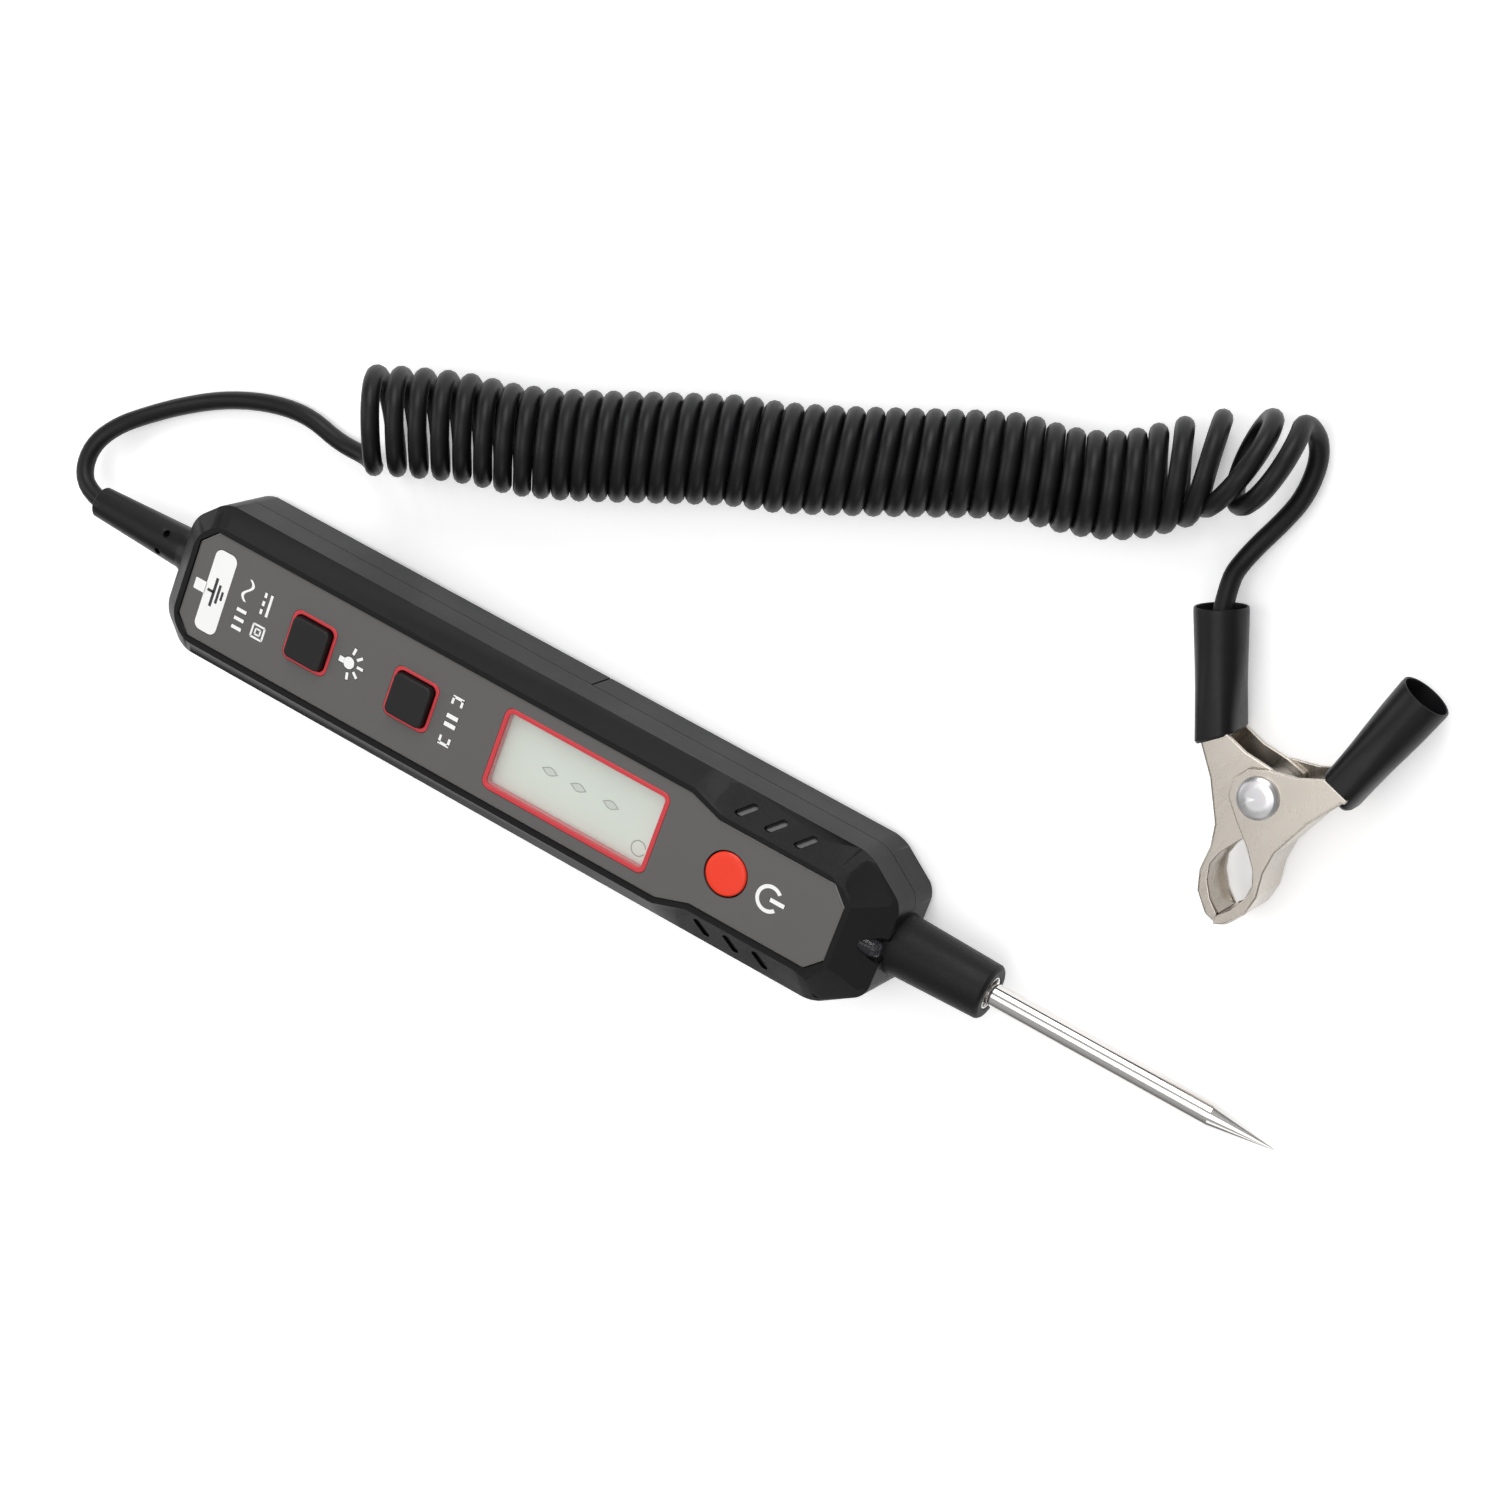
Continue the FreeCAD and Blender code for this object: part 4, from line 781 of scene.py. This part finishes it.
def supply_marks(mesh, level):
    """Two rows of plain supply marks: a wave and bars, then direct current and a double square."""
    mark(mesh, wave(-53.2, 4.9, 0.8, 0.75, 0.55), level, 0.08)
    for y in (-0.9, -2.5, -4.1):
        mark(mesh, bar(-54.2, y, -52.2, y, 0.62), level)
    mark(mesh, bar(-48.5, 4.2, -48.5, 0.2, 0.5), level)
    for y in (3.7, 2.2, 0.7):
        mark(mesh, bar(-49.7, y + 0.45, -49.7, y - 0.45, 0.5), level)
    for half, width in ((1.15, 0.36), (0.5, 0.3)):
        x, y = -49.1, -2.9
        for sign in (1, -1):
            mark(mesh, bar(x - half, y + sign * half, x + half, y + sign * half, width), level, 0.08)
            mark(mesh, bar(x + sign * half, y - half, x + sign * half, y + half, width), level, 0.08)


def lamp_marks(mesh, level):
    """A lamp bulb with rays."""
    x, y = -31.2, 0.3
    mark(mesh, arc_points(x, y, 1.05, 0, 345, 23), level)
    mark(mesh, bar(x - 1.0, y, x - 2.0, y, 1.0), level)
    for angle in (-80, -40, 0, 40, 80):
        away = Vector((math.cos(math.radians(angle)), math.sin(math.radians(angle))))
        mark(mesh, bar(x + 1.65 * away.x, y + 1.65 * away.y, x + 2.9 * away.x, y + 2.9 * away.y, 0.5), level)


def hold_marks(mesh, level):
    """A pause symbol between two brackets, for holding the reading."""
    x = -10.2
    for y in (0.75, -0.75):
        mark(mesh, bar(x - 1.1, y, x + 1.1, y, 0.75), level)
    for sign in (1, -1):
        mark(mesh, bar(x - 1.1, sign * 4.2, x + 1.1, sign * 4.2, 0.5), level)
        for end in (-1.1 + 0.22, 1.1 - 0.22):
            mark(mesh, bar(x + end, sign * 4.2, x + end, sign * 2.9, 0.45), level, 0.08)


def power_marks(mesh, level):
    """An open ring with a bar through its gap."""
    x, y = 52.2, -0.1
    mark(mesh, ring_part(x, y, 1.75, 2.4, 42, 318), level, 0)
    mark(mesh, bar(x + 0.2, y, x + 2.9, y, 0.72), level)


class TESTER_OT_printed_marks(bpy.types.Operator):
    """Print the plain symbols on the face panel"""
    bl_idname = "tester.printed_marks"
    bl_label = "Printed marks"

    def execute(self, context):
        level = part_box("face_panel")[1].z
        for name, draw in (("badge_print", badge_marks), ("supply_print", supply_marks), ("lamp_print", lamp_marks),
                           ("hold_print", hold_marks), ("power_print", power_marks)):
            mesh = bmesh.new()
            draw(mesh, level)
            finish_piece(mesh, name, [white_ink(), shadow_ink()], BODY, weighted=False)
        return {"FINISHED"}


# ---- display ---------------------------------------------------------------------------
def display_film():
    """Pale reflective film under the glass; its darkening toward one corner is painted frame shadow, laid on it as
    bands in the display step.
    """
    name = "Display film"
    if name in bpy.data.materials:
        return bpy.data.materials[name]
    material = plastic(name, colours().display, 0.32, grain=0.000003, scale=2500.0, spread=0.08, drift=0.05, coat=0.3)
    return material


class TESTER_OT_display(bpy.types.Operator):
    """Build the red display frame, the film behind it and the clear window"""
    bl_idname = "tester.display"
    bl_label = "Display"

    def execute(self, context):
        low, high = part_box("display_frame")
        smooth_copy("display_frame", "display_border", red_trim(), BODY, 0.15 * MM,
                    lambda e: middle(e).z > high.z - 0.02 * MM)
        glass_low, glass_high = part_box("display_glass")
        smooth_copy("display_glass", "display_cell", display_film(), BODY, 0.1 * MM)
        lens_low, lens_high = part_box("display_lens")
        smooth_copy("display_lens", "display_window", clear("Clear window", (0.9, 0.93, 0.9), 0.10), BODY,
                    0.08 * MM)
        faint = plastic("Faint segment", (0.26, 0.28, 0.25), 0.35, grain=0.000003, drift=0.1)
        pale = plastic("Pale segment", (0.50, 0.54, 0.48), 0.35, grain=0.000003, drift=0.1)
        # Painted shadow: a darker film tone that stands for the red frame's shadow along two edges of the display.
        shade = plastic("Display painted frame shadow", (0.34, 0.365, 0.33), 0.4, grain=0.000003, drift=0.1)
        mesh = bmesh.new()
        level = glass_high.z
        for x, y in ((8.6, 0.0), (14.25, -0.05), (20.6, 0.05)):
            for size, height, material in ((1, 0.020, 0), (0.78, 0.032, 1)):
                leaf = [(x + 1.7 * size * math.cos(turn), y + 0.75 * size * math.sin(turn) ** 3)
                        for turn in (math.tau * k / 32 for k in range(32))]
                plate(mesh, [(px * MM, py * MM) for px, py in leaf], level, level + height * MM, material)
        plate(mesh, [(px * MM, py * MM) for px, py in ring_part(27.7, -4.25, 1.2, 1.42, 20, 340)],
              level, level + 0.02 * MM)
        # Painted shadow of the frame: two darker bands along the display's low-Y and high-X edges, widest where they
        # meet.
        x0, x1, y0, y1 = (v / MM for v in (glass_low.x, glass_high.x, glass_low.y, glass_high.y))
        for outline, material in (([(x0, y0), (x1, y0), (x1, y0 + 1.3), (x0, y0 + 0.7)], 2),
                                  ([(x1 - 0.9, y0), (x1, y0), (x1, y1), (x1 - 0.6, y1)], 2)):
            plate(mesh, [(px * MM, py * MM) for px, py in outline], level, level + 0.01 * MM, material)
        finish_piece(mesh, "display_segments_and_painted_shadow", [faint, pale, shade], BODY, weighted=False)
        return {"FINISHED"}


# ---- buttons ---------------------------------------------------------------------------
class TESTER_OT_buttons(bpy.types.Operator):
    """Build the square keys in their red wells and the round power key"""
    bl_idname = "tester.buttons"
    bl_label = "Buttons"

    def execute(self, context):
        edge = context.scene.tester_shape.key_edge
        for word in ("light", "hold"):
            well = f"{word}_button_well"
            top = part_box(well)[1].z
            smooth_copy(well, f"{word}_well_trim", red_trim(), BODY, 0.15 * MM,
                        lambda e, top=top: middle(e).z > top - 0.02 * MM)
            smooth_copy(f"{word}_button", f"{word}_key_cap", black_key(), f"{word}_key")
        smooth_copy("power_button", "power_key_cap", red_key(), "power_key", edge,
                    lambda e: middle(e).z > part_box("power_button")[1].z - 0.5 * MM)
        return {"FINISHED"}


# ---- nose and cord end -----------------------------------------------------------------
class TESTER_OT_nose(bpy.types.Operator):
    """Build the nose sleeve, the socket, the needle and the torch lamp"""
    bl_idname = "tester.nose"
    bl_label = "Nose and needle"

    def execute(self, context):
        low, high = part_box("nose_sleeve")
        smooth_copy("nose_sleeve", "nose_sleeve_body", grained_black(), BODY, 0.18 * MM,
                    lambda e: middle(e).x > high.x - 0.6 * MM)
        smooth_copy("probe_socket", "probe_socket_rim", bright_chrome(), BODY, 0.06 * MM)
        steel = metal("Needle steel", (0.72, 0.70, 0.68), 0.13, scale=700.0, depth=0.000003, spread=0.06, turn=1.5708)
        shank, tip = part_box("probe_needle")
        profile = ((62.0, 0), (62.0, 1.75), (89.6, 1.75), (89.6, 2.0), (128.8, 2.0), (139.72, 0.12), (139.8, 0))
        pin = spun([(x * MM, r * MM) for x, r in profile])
        bmesh.ops.translate(pin, vec=(0, 0, (shank.z + tip.z) / 2), verts=pin.verts)
        finish_piece(pin, "probe_needle_pin", [steel], BODY, ("probe_needle",), 8)
        # Painted shade: the lamp's clear lens is tinted near-black and its cup made dark grey, so that the lamp reads
        # as a dark recess with a small glint.
        smooth_copy("torch_led", "torch_led_lens", clear("Dark-tinted epoxy, painted recess shade", (0.05, 0.05, 0.055), 0.40, 0.05), BODY)
        cup = bmesh.new()
        bmesh.ops.create_cone(cup, cap_ends=True, segments=24, radius1=0.5 * MM, radius2=1.0 * MM, depth=1.2 * MM)
        bmesh.ops.rotate(cup, cent=(0, 0, 0), matrix=Matrix.Rotation(math.pi / 2, 3, "Y"), verts=cup.verts)
        led_low, led_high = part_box("torch_led")
        centre = (led_low + led_high) / 2
        bmesh.ops.translate(cup, vec=(led_high.x - 3.6 * MM, centre.y, centre.z), verts=cup.verts)
        finish_piece(cup, "torch_led_cup", [metal("Lamp cup", (0.22, 0.22, 0.21), 0.25)], BODY)
        return {"FINISHED"}


class TESTER_OT_strain_relief(bpy.types.Operator):
    """Build the tapered strain relief where the lead leaves the housing"""
    bl_idname = "tester.strain_relief"
    bl_label = "Strain relief"

    def execute(self, context):
        smooth_copy("strain_relief", "strain_relief_sleeve", black_vinyl(), BODY, 0.15 * MM,
                    lambda e: middle(e).x < -69.5 * MM and abs(middle(e).y) > 1.0 * MM)
        return {"FINISHED"}


# ---- clip ------------------------------------------------------------------------------
CLIP_TURN = math.radians(3)
HANDLE_LEAN = math.radians(20.3)
BOOT_FOOT = (10.6, 6.0)
BOOT_LONG = 18.5
CLIP_LIFT = 0.6


def clip_point(x, y, z):
    """A point of the clip, given in millimetres from its rivet, in the frame."""
    low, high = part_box("clip_rivet")
    centre = (low + high) / 2
    turned_x = x * math.cos(CLIP_TURN) - y * math.sin(CLIP_TURN)
    turned_y = x * math.sin(CLIP_TURN) + y * math.cos(CLIP_TURN)
    return Vector((centre.x + turned_x * MM, centre.y + turned_y * MM, (CLIP_LIFT + z) * MM))


def oval_ring(mesh, y, wide, tall, square, segments=40):
    """A ring of vertices across the boot: square is 0 for an ellipse, more for a box."""
    ring = bmesh.ops.create_circle(mesh, cap_ends=False, segments=segments, radius=1.0)["verts"]
    power = 1 - square
    for v in ring:
        x = math.copysign(abs(v.co.x) ** power, v.co.x) * wide
        z = math.copysign(abs(v.co.y) ** power, v.co.y) * tall
        v.co = Vector((x, y, z)) * MM
    return ring


def ring_edges(ring):
    """The edges round a ring of vertices."""
    kept = set(ring)
    return list({e for v in ring for e in v.link_edges if e.other_vert(v) in kept})


def boot_mesh(outer):
    """A vinyl boot along +Y: boxy and slanted at the jaw, round and open at the cord's end."""
    mesh = bmesh.new()
    stations = [(0.9, 2.3, 3.6, 0.45), (0.1, 2.6, 4.2, 0.45), (0.0, 3.0, 4.9, 0.42), (0.35, 3.3, 5.3, 0.40),
                (3.0, 3.4, 5.1, 0.34), (6.0, 3.6, 4.75, 0.22), (9.0, 3.85, 4.45, 0.1), (13.0, 4.1, 4.3, 0.0), (17.8, 4.25, 4.25, 0.0),
                (18.4, 4.2, 4.2, 0.0), (18.5, 4.05, 4.05, 0.0), (18.4, 3.85, 3.85, 0.0), (17.0, 3.75, 3.75, 0.0),
                (12.5, 3.6, 3.6, 0.0)]
    rings = [oval_ring(mesh, *station) for station in stations]
    loops = [ring_edges(ring) for ring in rings]
    for before, after in zip(loops, loops[1:]):
        bmesh.ops.bridge_loops(mesh, edges=before + after)
    for end in (loops[0], loops[-1]):
        bmesh.ops.contextual_create(mesh, geom=end)
    bmesh.ops.recalc_face_normals(mesh, faces=mesh.faces)
    for v in mesh.verts:
        if v.co.y < 6 * MM:
            v.co.y -= 2.4 * MM * (1 - v.co.y / (6 * MM)) * (0.5 + outer * v.co.x / (7.5 * MM))
    return mesh


class TESTER_OT_clip(bpy.types.Operator):
    """Build the spring clip: plated jaws, rivet, spring and vinyl boots"""
    bl_idname = "tester.clip"
    bl_label = "Spring clip"

    def execute(self, context):
        edge = context.scene.tester_shape.jaw_edge
        for word, body, turn in (("fixed", BODY, 0.3), ("moving", "clip_lever", -0.5)):
            smooth_copy(f"clip_jaw_{word}", f"clip_jaw_{word}_plate", nickel(turn, f"Nickel plate {word}"), body,
                        edge, lambda e: e.calc_length() > 0.5 * MM, 35, False)
            side = -1 if word == "fixed" else 1
            mesh = boot_mesh(side)
            turn = CLIP_TURN - side * HANDLE_LEAN
            foot = clip_point(side * BOOT_FOOT[0], BOOT_FOOT[1], 5.5)
            bmesh.ops.transform(mesh, matrix=Matrix.Translation(foot) @ Matrix.Rotation(turn, 4, "Z"),
                                verts=mesh.verts)
            finish_piece(mesh, f"clip_boot_{word}_sleeve", [black_vinyl()], body,
                         (f"clip_boot_{word}",))
        head_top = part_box("clip_rivet")[1].z
        rivet = metal("Rivet steel", (0.62, 0.61, 0.62), 0.34, depth=0.000003)
        smooth_copy("clip_rivet", "clip_rivet_pin", rivet, BODY, 0.25 * MM,
                    lambda e: middle(e).z > head_top - 0.8 * MM)
        spring = metal("Spring steel", (0.35, 0.34, 0.33), 0.3)
        coil = smooth_copy("clip_spring", "clip_spring_coil", spring, None)
        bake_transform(coil)
        return {"FINISHED"}


# ---- what is inside --------------------------------------------------------------------
class TESTER_OT_inside(bpy.types.Operator):
    """Give the pieces inside the housing their finishes"""
    bl_idname = "tester.inside"
    bl_label = "Inside"

    def execute(self, context):
        finishes = {
            "display_backlight": plastic("Light guide", (0.82, 0.83, 0.8), 0.3, grain=0.000003),
            "contact_strips": plastic("Zebra rubber", (0.6, 0.28, 0.24), 0.6),
            "circuit_board": plastic("Solder mask", (0.012, 0.12, 0.04), 0.3, grain=0.00001, drift=0.4, coat=0.4),
            "controller_chip": plastic("Chip epoxy", (0.02, 0.02, 0.021), 0.6),
            "board_components": plastic("Ceramic", (0.5, 0.42, 0.3), 0.4),
            "battery_cell_left": plastic("Cell sleeve", (0.02, 0.05, 0.14), 0.25, grain=0.000004, coat=0.5),
            "battery_cell_right": plastic("Cell sleeve", (0.02, 0.05, 0.14), 0.25, grain=0.000004, coat=0.5),
            "battery_contacts": nickel(0.0, "Contact nickel"),
            "led_legs": nickel(0.0, "Contact nickel"),
            "clip_crimp": nickel(0.0, "Contact nickel"),
            "ground_wire": plastic("Black wire", (0.02, 0.02, 0.02), 0.4),
            "probe_wire": plastic("Red wire", (0.45, 0.02, 0.015), 0.4),
        }
        for word in ("light", "hold", "power"):
            finishes[f"{word}_switch"] = plastic("Switch body", (0.02, 0.02, 0.02), 0.5)
            finishes[f"{word}_plunger"] = plastic("Plunger nylon", (0.75, 0.75, 0.72), 0.45)
        for node, material in finishes.items():
            for slot in nodes[node].material_slots:
                slot.material = material
        return {"FINISHED"}


# ---- panel and registration --------------------------------------------------------------
STEPS = (TESTER_OT_stage, TESTER_OT_clip, TESTER_OT_lead, TESTER_OT_housing, TESTER_OT_face_panel,
         TESTER_OT_printed_marks, TESTER_OT_display, TESTER_OT_buttons, TESTER_OT_nose, TESTER_OT_strain_relief,
         TESTER_OT_inside)


class TESTER_PT_sidebar(bpy.types.Panel):
    """The tester's settings and its pieces"""
    bl_label = "Circuit test light"
    bl_idname = "TESTER_PT_sidebar"
    bl_space_type = "VIEW_3D"
    bl_region_type = "UI"
    bl_category = "Tester"

    def draw(self, context):
        for group in (context.scene.tester_lead, context.scene.tester_shape, context.scene.tester_colours):
            column = self.layout.column(align=True)
            for name in group.__annotations__:
                column.prop(group, name)
        for step in STEPS:
            self.layout.operator(step.bl_idname)


GROUPS = {"tester_lead": TesterLeadSettings, "tester_shape": TesterShapeSettings,
          "tester_colours": TesterColourSettings}


def register():
    for group in GROUPS.values():
        bpy.utils.register_class(group)
    for step in STEPS:
        bpy.utils.register_class(step)
    bpy.utils.register_class(TESTER_PT_sidebar)
    for name, group in GROUPS.items():
        setattr(bpy.types.Scene, name, PointerProperty(type=group))


def unregister():
    for name in GROUPS:
        delattr(bpy.types.Scene, name)
    bpy.utils.unregister_class(TESTER_PT_sidebar)
    for step in reversed(STEPS):
        bpy.utils.unregister_class(step)
    for group in reversed(list(GROUPS.values())):
        bpy.utils.unregister_class(group)


def main():
    register()
    for step in STEPS:
        space, name = step.bl_idname.split(".")
        getattr(getattr(bpy.ops, space), name)()


if __name__ == "__main__":
    main()
